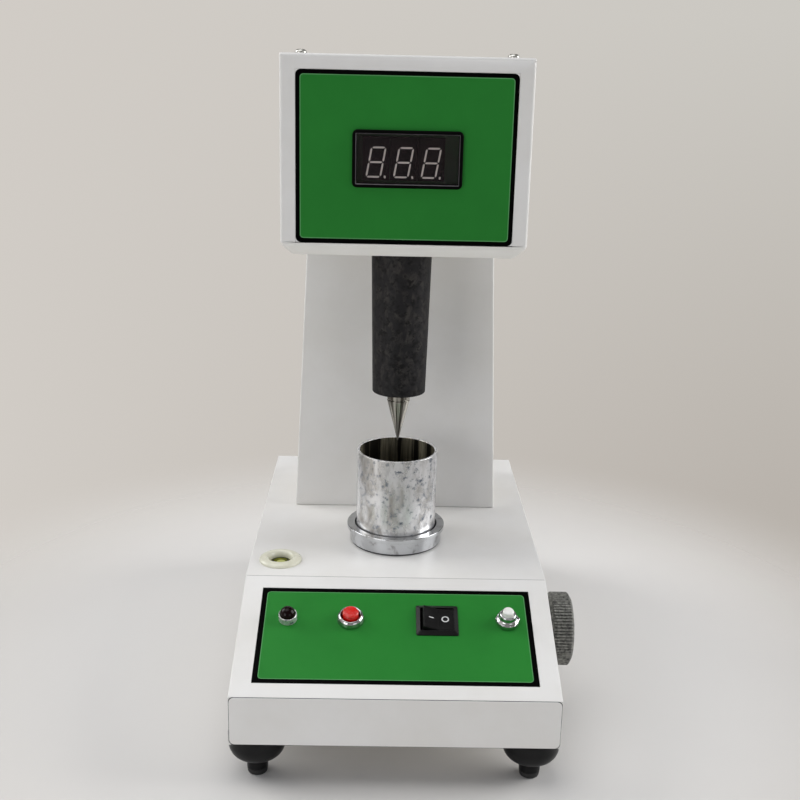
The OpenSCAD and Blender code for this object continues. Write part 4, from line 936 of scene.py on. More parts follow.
@dataclass
class SheetCase:
    """Painted sheet-steel casing: tray and cover of the base, column with its cover, head with its lid."""

    paint: Paintbox
    slope: Slope = field(default_factory=Slope)
    sheets: tuple[str, ...] = ("base_tray", "base_cover", "column_shell", "column_cover")
    fold: float = 0.9
    head_fold: float = 1.6
    cut: float = 0.22
    lid_edge: float = 1.35
    margin: float = 0.2
    # Thickness of the black sheet behind the facing, which paints shade in the seam.
    shade_sheet: float = 0.12
    gap: float = 0.28
    facing: float = 0.5
    facing_corner: float = 3.0
    facing_edge: float = 0.25
    bend_tilt: float = 10.0
    bend_width: float = 0.32
    bend_corner: float = 0.1
    bend_skin: tuple[float, float] = (-0.1, 0.03)

    def build(self) -> None:
        """Rounds the folds and cut edges of each sheet, faces the front wall and lays painted shade along the
        bend.
        """
        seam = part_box("head_lid")[0].z
        edges = {node: (self.fold, self.cut, None) for node in self.sheets}
        edges["head_shell"] = (self.head_fold, self.cut, seam)
        edges["head_lid"] = (self.lid_edge, self.lid_edge, seam)
        for node, (fold, cut, joint) in edges.items():
            piece = softened(node, node + "_sheet", fold, cut, joint=joint)
            self.paint.fit(piece, "frame", "white_paint", node)
        self._front()
        self._bend()

    def _front(self) -> None:
        """Makes the thin facing of the front wall, with round corners, and a black sheet behind it whose rim
        round the facing is painted shade in the seam.
        """
        low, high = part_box("base_cover")
        tall = self.slope.front_height
        centre = Vector(((low.x + high.x) / 2, low.y, low.z + tall * MM / 2))
        place = Matrix.Translation(centre) @ UPRIGHT
        outline = partial(rounded_rectangle, (high.x - low.x) / MM - 2 * self.margin, tall - 2 * self.margin)
        back = outline(self.facing_corner - self.gap)
        # Black sheet behind the facing: its visible rim is painted shade, a dark seam round the front face.
        shade_sheet = lofted("front_seal", stacked((back, 0.0), (back, self.shade_sheet)), place)
        self.paint.fit(shade_sheet, "frame", "rubber")
        side = outline(self.facing_corner, inset=self.gap)
        face = outline(self.facing_corner - self.facing_edge, inset=self.gap + self.facing_edge)
        layers = stacked((side, self.shade_sheet), (side, self.facing - self.facing_edge), (face, self.facing))
        self.paint.fit(lofted("front_facing", layers, place), "frame", "white_paint")

    def _bend(self) -> None:
        """Lays a faint grey line of painted shade along the bend between the top of the cover and its slope.
        """
        low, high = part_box("base_cover")
        spot = Vector(((low.x + high.x) / 2, low.y + self.slope.run * MM, high.z))
        place = Matrix.Translation(spot) @ Matrix.Rotation(math.radians(self.bend_tilt), 4, "X")
        length = (high.x - low.x) / MM - 2 * self.fold
        strip = rounded_rectangle(length, self.bend_width, self.bend_corner, steps=2)
        # The grey strip is painted shade in the crease of the bend.
        line = lofted("fold_line", stacked(*((strip, z) for z in self.bend_skin)), place)
        self.paint.fit(line, "frame", "white_paint", looks=(FOLD_SHADE_GREY,))


@dataclass
class PrintedPlate:
    """Flat plate with a printed border, a thin pale line and a coloured field, and holes in it."""

    name: str
    node: str
    width: float
    height: float
    outer_radius: float
    border: float
    line: float
    inner_radius: float
    print_radius: float = 0.0
    print_inset: float = 0.05
    thickness: float = 1.5
    holes: list[list[Vector]] = field(default_factory=list)

    def build(self, paintbox: Paintbox, place: Matrix) -> None:
        """Makes the plate with its face at z = 0 of its own frame.

        Args:
            paintbox: Materials.
            place: Frame of the plate's face.
        """
        outline = partial(rounded_rectangle, self.width, self.height)
        outer = outline(self.outer_radius)
        first = outline(self.inner_radius + self.line, inset=self.border)
        second = outline(self.inner_radius, inset=self.border + self.line)
        rim = outline(self.print_radius, inset=self.print_inset) if self.print_radius else outer
        loops = [outer, first, second] + self.holes + ([rim] if self.print_radius else [])
        points: list[Vector] = []
        edges: list[tuple[int, int]] = []
        for loop in loops:
            start = len(points)
            points.extend(loop)
            edges.extend((start + k, start + (k + 1) % len(loop)) for k in range(len(loop)))
        flat, _, faces, *_ = delaunay_2d_cdt(points, edges, [], 0, 1e-7)
        bm = bmesh.new()
        top = [bm.verts.new((p.x * MM, p.y * MM, 0)) for p in flat]
        low = [bm.verts.new((p.x * MM, p.y * MM, -self.thickness * MM)) for p in flat]
        for face in faces:
            centre = sum((flat[i] for i in face), Vector((0, 0))) / len(face)
            if not inside(centre, outer) or any(inside(centre, hole) for hole in self.holes):
                continue
            made = bm.faces.new([top[i] for i in face])
            made.material_index = (0 if inside(centre, second) else 2 if inside(centre, first)
                                   else 1 if inside(centre, rim) else 3)
            bm.faces.new([low[i] for i in reversed(face)]).material_index = 1
        for edge in [e for e in bm.edges if e.is_boundary and e.verts[0].co.z == 0]:
            a, b = edge.link_loops[0].vert, edge.link_loops[0].link_loop_next.vert
            pair = [low[top.index(v)] for v in (a, b)]
            bm.faces.new((b, a, pair[0], pair[1])).material_index = 1
        loose = [v for v in bm.verts if not v.link_faces]
        bmesh.ops.delete(bm, geom=loose, context="VERTS")
        bmesh.ops.recalc_face_normals(bm, faces=bm.faces)
        paintbox.fit(to_object(self.name, bm, place), "frame", "green_panel", self.node,
                     looks=("green_panel", PRINT_BLACK, PRINT_PALE, "white_paint"))


# Profiles of the turned pieces of the controls, by the name of the piece.
CONTROL_PROFILES: dict[str, Profile] = {
    "indicator_ring": [
        (3.2, -18.0), (4.0, -18.0), (4.0, -0.2), (5.6, -0.2, 0.1), (5.6, 3.7, 0.4), (5.3, 4.3, 0.2),
        (4.9, 4.2, 0.1), (4.85, 3.0), (3.2, 3.0)],
    "indicator_dome": [(0, -5.0), (3.1, -5.0), (3.1, 3.1), (4.8, 3.1), *dome(4.8, 4.0, 4.8)],
    "reset_ring": [
        (5.5, -18.0), (6.0, -18.0), (6.0, -0.2), (8.3, -0.2, 0.1), (8.3, 1.3, 0.5), (7.7, 3.4, 0.6),
        (6.6, 4.5, 0.4), (5.8, 4.2, 0.2), (5.5, 1.2)],
    "reset_cap": [(0, -4.0), (5.0, -4.0), (4.9, 6.2, 0.7), (4.2, 7.0, 0.7), *dome(3.6, 7.05, 0.3)],
    "measure_bush": [
        (3.55, 0.5), (7.2, 0.5), (7.0, 2.6, 0.7), (5.3, 3.9, 0.9), (4.9, 6.6, 0.5), (4.3, 7.0, 0.2),
        (3.55, 6.8)],
    "measure_cap": [(0, -4.0), (3.4, -4.0), (3.4, 8.6, 0.4), *dome(3.25, 9.1, 0.9)],
}


@dataclass
class Controls:
    """Control panel on the slope: printed plate, indicator, two push buttons and a rocker switch."""

    paint: Paintbox
    slope: Slope = field(default_factory=Slope)
    line: float = 12.0
    sink: float = 0.2
    width: float = 165.5
    height: float = 75.0
    round_holes: tuple[tuple[str, float], ...] = (
        ("indicator_bezel", 4.2), ("reset_button_body", 6.2), ("measure_button_body", 5.2))
    switch_hole: tuple[float, float] = (24.2, 21.7)
    switch_size: tuple[float, float] = (25.6, 24.0)
    well_size: tuple[float, float] = (20.2, 17.9)
    on_mark: tuple[float, float] = (-3.6, 0.0)
    off_mark: tuple[float, float] = (4.9, 0.0)
    ink: tuple[float, float] = (0.01, 0.06)
    above: float = 30.0

    def build(self) -> None:
        """Makes the plate and each control on it."""
        self._plate()
        self._turned_controls()
        self._switch()

    def _spot(self, node: str) -> tuple[float, float]:
        """Returns a control's place on the plate, in millimetres."""
        return (middle(node).x - self.slope.frame().translation.x) / MM, self.line

    def _plate(self) -> None:
        """Makes the printed plate with a hole for each control."""
        holes = [circle(radius, self._spot(node)) for node, radius in self.round_holes]
        holes.append(rounded_rectangle(*self.switch_hole, 0.6, self._spot("switch_frame")))
        plate = PrintedPlate("control_plate", "control_panel", self.width, self.height, outer_radius=0.05,
                             border=3.1, line=0.45, inner_radius=1.8, holes=holes)
        plate.build(self.paint, self.slope.frame() @ Matrix.Translation((0, 0, -self.sink * MM)))

    def _turn(self, name: str, seat: str, around: int) -> Object:
        """Returns a turned piece of a control, on the place of a CAD node."""
        return turned(name, CONTROL_PROFILES[name], self.slope.at(seat, self.line), around)

    def _turned_controls(self) -> None:
        """Makes the indicator, the reset button and the measure button.

        The indicator is a tall plated bezel with a dark dome, the reset button a red cap in a plated ring,
        and the measure button a tall white pin in a flared bush on a hexagon collar.
        """
        fit = self.paint.fit
        fit(self._turn("indicator_ring", "indicator_bezel", 72), "frame", "chrome", "indicator_bezel",
            looks=(WORN_CHROME,))
        fit(self._turn("indicator_dome", "indicator_bezel", 72), "frame", "red_lens", "indicator_lens")
        fit(self._turn("reset_ring", "reset_button_body", 84), "frame", "chrome", "reset_button_body")
        fit(self._turn("reset_cap", "reset_button_body", 84), "reset_button", "red_plastic",
            "reset_button_cap")
        collar = softened("measure_button_body", "measure_collar", 0.45, 0.3, 1.0)
        fit(collar, "frame", "chrome", "measure_button_body")
        fit(self._turn("measure_bush", "measure_button_body", 64), "frame", "chrome")
        fit(self._turn("measure_cap", "measure_button_body", 64), "measure_button", "white_plastic",
            "measure_button_cap")

    def _switch(self) -> None:
        """Makes the rocker switch: a bevelled frame with a well, and a rocker with its two marks."""
        place = self.slope.at("switch_frame", self.line)
        (wide, long), (well_wide, well_long) = self.switch_size, self.well_size
        well = rounded_rectangle(well_wide, well_long, 0.5)
        lip = rounded_rectangle(well_wide + 0.5, well_long + 0.6, 0.7)
        rim = rounded_rectangle(wide, long, 1.0)
        body = rounded_rectangle(wide - 1.6, long - 2.5, 0.5)
        layers = stacked((well, -8.0), (well, 1.5), (lip, 1.7), (rim, 0.3), (rim, -0.2), (body, -0.2),
                         (body, -18.0))
        shell = lofted("switch_surround", layers, place, rounding=0.18)
        self.paint.fit(shell, "frame", "black_plastic", "switch_frame")
        rocker = softened("switch_rocker", "switch_paddle", 0.6, 0.3, 1.0)
        self.paint.fit(rocker, "power_rocker", "black_plastic", "switch_rocker")
        bar = rounded_rectangle(3.0, 0.65, 0.25, self.on_mark, 3)
        self._mark("switch_on_mark", [bar], rocker, place)
        ring = [circle(radius, self.off_mark) for radius in (2.3, 1.6)]
        self._mark("switch_off_mark", ring, rocker, place)

    def _mark(self, name: str, loops: list[list[Vector]], rocker: Object, place: Matrix) -> None:
        """Lays a thin printed mark on the rocker's top.

        Args:
            name: Name of the piece.
            loops: Outline, and a hole in it if there is a second one.
            rocker: Piece that carries the print.
            place: Frame of the switch.
        """
        up = (place.to_3x3() @ Vector((0, 0, 1))).normalized()
        bm = bmesh.new()
        rows: list[list[BMVert]] = []
        for lift in self.ink:
            for loop in loops:
                row = []
                for point in loop:
                    start = place @ Vector((point.x * MM, point.y * MM, self.above * MM))
                    hit, spot, _, _ = rocker.ray_cast(start, -up)
                    row.append(bm.verts.new((spot if hit else start) + up * lift * MM))
                rows.append(row)
        holed = len(loops) == 2
        for k in range(len(loops[0])):
            after = (k + 1) % len(loops[0])
            for a, b in ((0, 2), (1, 3), (0, 1), (2, 3)) if holed else ((0, 1),):
                bm.faces.new((rows[a][k], rows[a][after], rows[b][after], rows[b][k]))
        if not holed:
            bm.faces.new(rows[0])
            bm.faces.new(rows[1])
        bmesh.ops.recalc_face_normals(bm, faces=bm.faces)
        self.paint.fit(to_object(name, bm), "power_rocker", "black_plastic", looks=(PRINT_WHITE,))


@dataclass
class HeadFront:
    """Front of the head: printed plate and the display with its frame, smoked window and digits."""

    paint: Paintbox
    width: float = 126.0
    height: float = 97.0
    sink: float = 0.2
    bezel_size: tuple[float, float] = (63.2, 32.4)
    bezel_proud: float = 2.0
    bezel_depth: float = 6.0
    frame_width: float = 2.2
    lip: float = 0.32
    digit_drop: float = 1.9
    thinning: float = 0.66

    def build(self) -> None:
        """Makes the plate, the frame with its window, and the digits."""
        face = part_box("head_shell")[0].y
        centre, display = middle("head_panel"), middle("display_bezel")
        spot = ((display.x - centre.x) / MM, (display.z - centre.z) / MM)
        hole = rounded_rectangle(*self.bezel_size, 0.6, spot, inset=1.2)
        plate = PrintedPlate("head_plate", "head_panel", self.width, self.height, outer_radius=0.3,
                             border=2.5, line=0.5, inner_radius=1.6, print_radius=3.0, holes=[hole])
        plate.build(self.paint, Matrix.Translation((centre.x, face + self.sink * MM, centre.z)) @ UPRIGHT)
        self._frame(Matrix.Translation((display.x, face, display.z)) @ UPRIGHT)
        self._digits()

    def _frame(self, place: Matrix) -> None:
        """Makes the display's frame and its window.

        Args:
            place: Frame of the display on the head's painted face.
        """
        proud, depth = self.bezel_proud, self.bezel_depth
        outline = partial(rounded_rectangle, *self.bezel_size)
        mouth = outline(0.4, inset=self.frame_width)
        lip = outline(0.4, inset=self.frame_width - self.lip)
        top = outline(2.4, inset=0.5)
        rim = outline(2.8)
        body = outline(0.4, inset=1.4)
        layers = stacked((mouth, proud - self.lip), (lip, proud), (top, proud), (rim, proud - 0.5),
                         (rim, -self.sink), (body, -self.sink), (body, -depth), (mouth, -depth))
        bezel = lofted("display_frame", layers, place, ring=True)
        # The lip round the mouth gets the grey painted highlight.
        for face in bezel.data.polygons[:len(mouth)]:
            face.material_index = 1
        self.paint.fit(bezel, "frame", "black_plastic", "display_bezel", looks=(MATT_ABS, LIP_HIGHLIGHT))
        pane = outline(0.4, inset=self.frame_width + 0.05)
        edge = outline(0.4, inset=self.frame_width + 0.35)
        window = lofted("display_pane", stacked((pane, -0.7), (pane, 0.5), (edge, 0.8)), place)
        self.paint.fit(window, "frame", "smoked_window", "display_window")

    def _digits(self) -> None:
        """Slims the unlit segments and sets them a little below the middle of the window."""
        bm = copy_of("digit_segments")
        for island in islands(bm):
            flat = [Vector((v.co.x, v.co.z)) for v in island]
            centre = sum(flat, Vector((0, 0))) / len(flat)
            tip = max(flat, key=lambda p: (p - centre).length)
            other = max(flat, key=lambda p: (p - tip).length)
            along = (tip - other).normalized()
            for vert, place in zip(island, flat):
                offset = place - centre
                run = along * offset.dot(along)
                vert.co.x, vert.co.z = centre + run + (offset - run) * self.thinning
        bars = to_object("digit_bars", bm, Matrix.Translation((0, 0, -self.digit_drop * MM)))
        self.paint.fit(bars, "frame", "segment_grey", "digit_segments")


@dataclass
class Level:
    """Bull's-eye level: moulded ring, sunk vial with a black mark, and a bubble."""

    paint: Paintbox
    radius: float = 13.7
    height: float = 3.0
    shank: float = 10.5
    bore: float = 6.75
    window: float = 6.7
    sunk: float = -1.0
    crown_radius: float = 6.5
    crown_base: float = -0.95
    crown: float = 0.6
    mark: tuple[float, float] = (4.5, 5.6)
    bubble: float = 2.8
    bubble_spot: tuple[float, float] = (0.5, -1.6)

    def build(self) -> None:
        """Makes the ring, the vial, its mark and its bubble."""
        place = upright("level_ring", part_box("base_cover")[1].z)
        inner, outer, top = self.bore, self.radius, self.height
        ring = [(inner, -11.0), (self.shank, -11.0), (self.shank, 0.0), (outer, 0.0, 0.2), (outer, 1.4, 0.7),
                (outer - 1.8, top - 0.4, 1.4), (outer - 4.0, top, 1.4), (inner + 1.3, top - 0.8, 0.8),
                (inner, -0.4, 0.3)]
        self.paint.fit(turned("level_body", ring, place), "frame", "cream_plastic", "level_ring")
        vial = [(0, -4.0), (self.window, -4.0), (self.window, self.sunk),
                *dome(self.crown_radius, self.crown_base, self.crown)]
        self.paint.fit(turned("level_glass", vial, place), "frame", "level_glass", "level_vial")
        near, far = self.mark
        mark = [(r, self._skin(r) + lift) for r, lift in (
            (near, -0.3), (far, -0.3), (far, 0.03), (near, 0.03))]
        self.paint.fit(turned("level_mark", mark, place), "frame", "level_glass", looks=(VIAL_BLACK,))
        rim = self._skin(self.bubble) - 0.1
        air = [(0, rim), (self.bubble, rim), *dome(self.bubble, rim + 0.1, 0.2)]
        aside = Matrix.Translation((self.bubble_spot[0] * MM, self.bubble_spot[1] * MM, 0))
        bubble = turned("level_bubble", air, place @ aside, 48)
        self.paint.fit(bubble, "frame", "level_glass", looks=(VIAL_BUBBLE,))

    def _skin(self, radius: float) -> float:
        """Returns the height of the vial's crown at a radius, in millimetres."""
        return self.crown_base + self.crown * math.sqrt(1 - (radius / self.crown_radius) ** 2)


@dataclass
class Lift:
    """Lift platform, sample cup and the knurled knob that works them."""

    paint: Paintbox
    cup_radius: float = 26.65
    cup_bore: float = 25.0
    cup_floor: float = 2.0
    drum_radius: float = 31.0
    flange_radius: float = 32.9
    flange: float = 3.0
    hollow: float = 5.6
    undercut: float = 0.9
    groove: float = 1.2
    groove_depth: float = 2.6
    knob_radius: float = 23.0
    knob_width: float = 14.5
    ribs: int = 72
    rib_height: float = 0.8
    rib_foot: float = 0.47
    rib_crest: float = 0.2
    rib_ends: tuple[float, float] = (1.3, 2.1)

    def build(self) -> None:
        """Makes the platform, the cup and the knob."""
        place = upright("sample_cup")
        self._platform(place)
        self._cup(place)
        self._knob()

    def _platform(self, place: Matrix) -> None:
        """Makes the turned platform with the seat for the cup; the groove round the seat and the undercut
        under it get the dark rubber material as painted shade.

        Args:
            place: Frame on the cone's axis at the floor.
        """
        low, high = levels("lift_platform")
        drum, flange, step = self.drum_radius, self.flange_radius, high - self.flange
        seat, under, deep = self.cup_radius + self.groove, self.cup_radius - 1.0, high - self.groove_depth
        inner, ring, cut = drum - 6, drum - 0.5, low + self.undercut
        profile = [(0, high - 1.0), (under, high - 1.0), (under, deep), (seat, deep), (seat, high, 0.2),
                   (flange, high, 0.6), (flange, step, 0.6), (drum, step, 0.3), (drum, cut, 0.2), (ring, cut),
                   (ring, low, 0.2), (inner, low, 0.4), (inner, low + self.hollow), (0, low + self.hollow)]
        piece = turned("platform_drum", profile, place, 128)
        # Painted shade: the undercut under the drum gets the dark rubber material, a dark contact line.
        zone(piece, place.translation, (inner + 0.5, ring + 0.1), (low - 1, cut - 0.01))
        # Painted shade: the groove under the cup's edge gets the dark rubber material.
        zone(piece, place.translation, (under - 0.1, seat + 0.1), (deep - 0.1, high - 0.3))
        self.paint.fit(piece, "lift", "chrome", "lift_platform", looks=("chrome", "rubber"))

    def _cup(self, place: Matrix) -> None:
        """Makes the cup with its thin rim.

        Args:
            place: Frame on the cone's axis at the floor.
        """
        low, high = levels("sample_cup")
        floor = low + self.cup_floor
        profile = [(0, low), (self.cup_radius, low, 0.8), (self.cup_radius, high, 0.4),
                   (self.cup_bore, high, 0.4), (self.cup_bore, floor, 2.0), (0, floor)]
        cup = turned("cup_shell", profile, place, 144)
        # The bore's bright and near-black streaks are painted reflections.
        zone(cup, place.translation, (-1, self.cup_bore + 0.05), (low + 1, high + 1))
        self.paint.fit(cup, "cup", "chrome", "sample_cup", looks=(WORN_CHROME, BORE_PAINTED_STREAKS))

    def _knob(self) -> None:
        """Makes the knob: a turned core with straight ribs round it, and a smoother outer face."""
        root, wide = self.knob_radius - self.rib_height, self.knob_width
        core = turned("knob_grip", [
            (0, 0), (root - 2.0, 0, 0.4), (root - 0.3, 1.5, 0.4), (root - 0.3, wide - 1.5, 0.4),
            (root - 2.2, wide, 0.6), (16.0, wide, 0.4), (15.2, wide - 0.7, 0.4), (6.5, wide - 0.7, 0.4),
            (5.8, wide, 0.3), (0, wide)], around=108)
        pitch = 2 * math.pi * root / self.ribs
        foot, crest, tall = self.rib_foot * pitch, self.rib_crest * pitch, self.rib_height
        section = [(-1.0, -foot), (0.0, -foot), (tall, -crest), (tall, crest), (0.0, foot), (-1.0, foot)]
        start, full = self.rib_ends
        loops = [[Vector((x, y, outer if x <= 0 else crown)) for x, y in section]
                 for outer, crown in ((start, full), (wide - start, wide - full))]
        rib = lofted("knob_rib", loops)
        RingOfRibs(self.ribs, root).apply(core, rib, self.paint.of("knob_metal"))
        centre = middle("lift_knob")
        seat = Matrix.Translation((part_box("lift_knob")[0].x, centre.y, centre.z))
        core.data.transform(seat @ Matrix.Rotation(math.pi / 2, 4, "Y"))
        for face in core.data.polygons:
            face.material_index = int(face.normal.x > 0.9)
        self.paint.fit(core, "lift_knob", "knob_metal", "lift_knob", looks=("knob_metal", FACED_ALUMINIUM))


@dataclass
class ConeUnit:
    """Cone and the sleeve that guides its rod."""

    paint: Paintbox
    radius: float = 7.5
    shoulder: float = 28.0
    groove: float = 1.0
    sleeve_low: float = 17.35
    sleeve_high: float = 19.35
    bore: float = 8.05
    flange_radius: float = 28.35
    flange: float = 3.0

    def build(self) -> None:
        """Makes the cone and the sleeve."""
        place = upright("cone")
        low, high = levels("cone")
        wide, neck = self.radius, self.radius - self.groove
        profile = [(0, low), (0.25, low + 0.15, 0.1), (wide, low + self.shoulder, 0.25),
                   (wide, high - 5.5, 0.1), (neck, high - 5.3, 0.1), (neck, high - 4.7, 0.1),
                   (wide, high - 4.5, 0.15), (wide, high, 0.4), (0, high)]
        point = turned("cone_point", profile, place, 128)
        # The cone's bright and dark streaks are painted reflections.
        self.paint.fit(point, "cone", "steel", "cone", looks=(CONE_PAINTED_STREAKS,))
        bottom, top = levels("cone_sleeve")
        under, step = levels("head_shell")[0], top - self.flange
        tube = [(self.bore, bottom), (self.sleeve_low, bottom, 0.7), (self.sleeve_high, under),
                (self.sleeve_high, step), (self.flange_radius, step), (self.flange_radius, top),
                (self.bore, top)]
        self.paint.fit(turned("guide_sleeve", tube, place, 144), "frame", "sleeve_black", "cone_sleeve")


@dataclass
class Feet:
    """Four levelling feet: a bowl-shaped wheel on a stud, with a soft tip under its stem."""

    paint: Paintbox
    bowl: float = 17.0
    stem: float = 6.3
    bore: float = 3.3
    spigot: float = 3.0
    corners: tuple[str, ...] = ("front_left", "front_right", "rear_left", "rear_right")

    def build(self) -> None:
        """Makes the wheel and the tip of each foot."""
        for corner in self.corners:
            place = upright(corner + "_foot_wheel")
            base, top = levels(corner + "_foot_wheel")
            bowl, stem = self.bowl, self.stem
            profile = [(self.bore, base), (stem - 0.1, base, 0.2), (stem, base + 7.4, 0.6),
                       (bowl - 6.0, base + 8.0, 1.8), (bowl - 1.9, base + 10.8, 2.6),
                       (bowl, base + 15.4, 2.6), (bowl, top - 0.2, 0.7), (bowl - 1.2, top, 0.5),
                       (self.bore, top)]
            wheel = turned(corner + "_bowl", profile, place)
            self.paint.fit(wheel, corner + "_wheel", "black_plastic", corner + "_foot_wheel")
            tall, rest = levels(corner + "_foot_tip")[1], base - 0.2
            pad = [(0, 0), (stem - 0.6, 0, 1.2), (stem - 0.1, rest, 0.2), (self.spigot, rest),
                   (self.spigot, tall, 0.3), (0, tall)]
            tip = turned(corner + "_pad", pad, place, 64)
            self.paint.fit(tip, corner + "_foot", "rubber", corner + "_foot_tip")


@dataclass
class Fasteners:
    """Plated pan-head screws of the casing."""

    paint: Paintbox
    head_radius: float = 3.4
    head_height: float = 2.2
    shank: float = 1.4
    lid_flush: float = 1.9

    def seats(self) -> list[Seat]:
        """Finds where each screw sits and which way it faces.

        Returns:
            Seat of the head and outward direction of each screw.
        """
        bm = copy_of("case_screws")
        found = []
        for island in islands(bm):
            low = Vector([min(v.co[i] for v in island) for i in range(3)])
            high = Vector([max(v.co[i] for v in island) for i in range(3)])
            long = max(range(3), key=lambda i: (high - low)[i])
            spot = (low + high) / 2
            side = 1 if long == 2 or spot[long] > 0 else -1
            direction = Vector([side if i == long else 0 for i in range(3)])
            spot[long] = (high if side > 0 else low)[long] - side * self.head_height * MM
            if long == 2 and spot.y > 0:
                spot.z -= self.lid_flush * MM
            found.append((spot, direction))
        bm.free()
        return sorted(found, key=lambda seat: tuple(seat[0]))

    def build(self) -> None:
        """Makes all the screws as one piece."""
        screws = Scattered("casing_screws").apply(self.seats(), self._screw(), self.paint.of("zinc_steel"))
        self.paint.fit(screws, "frame", "zinc_steel", "case_screws")

    def _screw(self) -> Object:
        """Makes one screw: a low pan head with a cross recess, and its shank.

        Returns:
            The screw, with the seat of its head at z = 0.
        """
        wide, top = self.head_radius, self.head_height
        head = turned("screw_head", [
            (0, -3.0), (self.shank, -3.0), (self.shank, -0.02), (wide, 0.0, 0.1), (wide, 0.8, 0.3),
            (wide - 0.5, 1.6, 0.5), (wide - 1.6, top, 0.8), (0, top)], around=32)
        layers = stacked((rounded_rectangle(2.8, 0.62, 0.1, steps=2), top - 1.0),
                         (rounded_rectangle(3.4, 0.8, 0.1, steps=2), top + 0.6))
        for turn in (0.0, math.pi / 2):
            slot = lofted("recess", layers, Matrix.Rotation(turn, 4, "Z"))
            carve = head.modifiers.new("recess", "BOOLEAN")
            carve.object = slot
            carve.operation = "DIFFERENCE"
            plain(head)
            bpy.data.objects.remove(slot)
        smooth(head)
        return head


@dataclass
class RearFittings:
    """Mains inlet and fuse holder on the rear wall."""

    paint: Paintbox

    def build(self) -> None:
        """Rounds the moulded edges of both."""
        for node in ("mains_inlet", "fuse_holder"):
            piece = softened(node, node + "_moulding", 0.5, 0.25, 1.0)
            self.paint.fit(piece, "frame", "black_plastic", node)


# Studio


@dataclass(frozen=True)
class Lamp:
    """A large soft lamp that faces the object. Sizes are in metres."""

    name: str
    place: tuple[float, float, float]
    size: float
    power: float

    def build(self) -> None:
        """Hangs the lamp."""
        light = bpy.data.lights.new(self.name, "AREA")
        light.size = self.size
        light.energy = self.power
        lamp = bpy.data.objects.new(self.name, light)
        lamp.visible_camera = False
        bpy.context.scene.collection.objects.link(lamp)
        turn = (LAMP_AIM - Vector(self.place)).to_track_quat("-Z", "Y").to_matrix().to_4x4()
        lamp.matrix_world = Matrix.Translation(self.place) @ turn


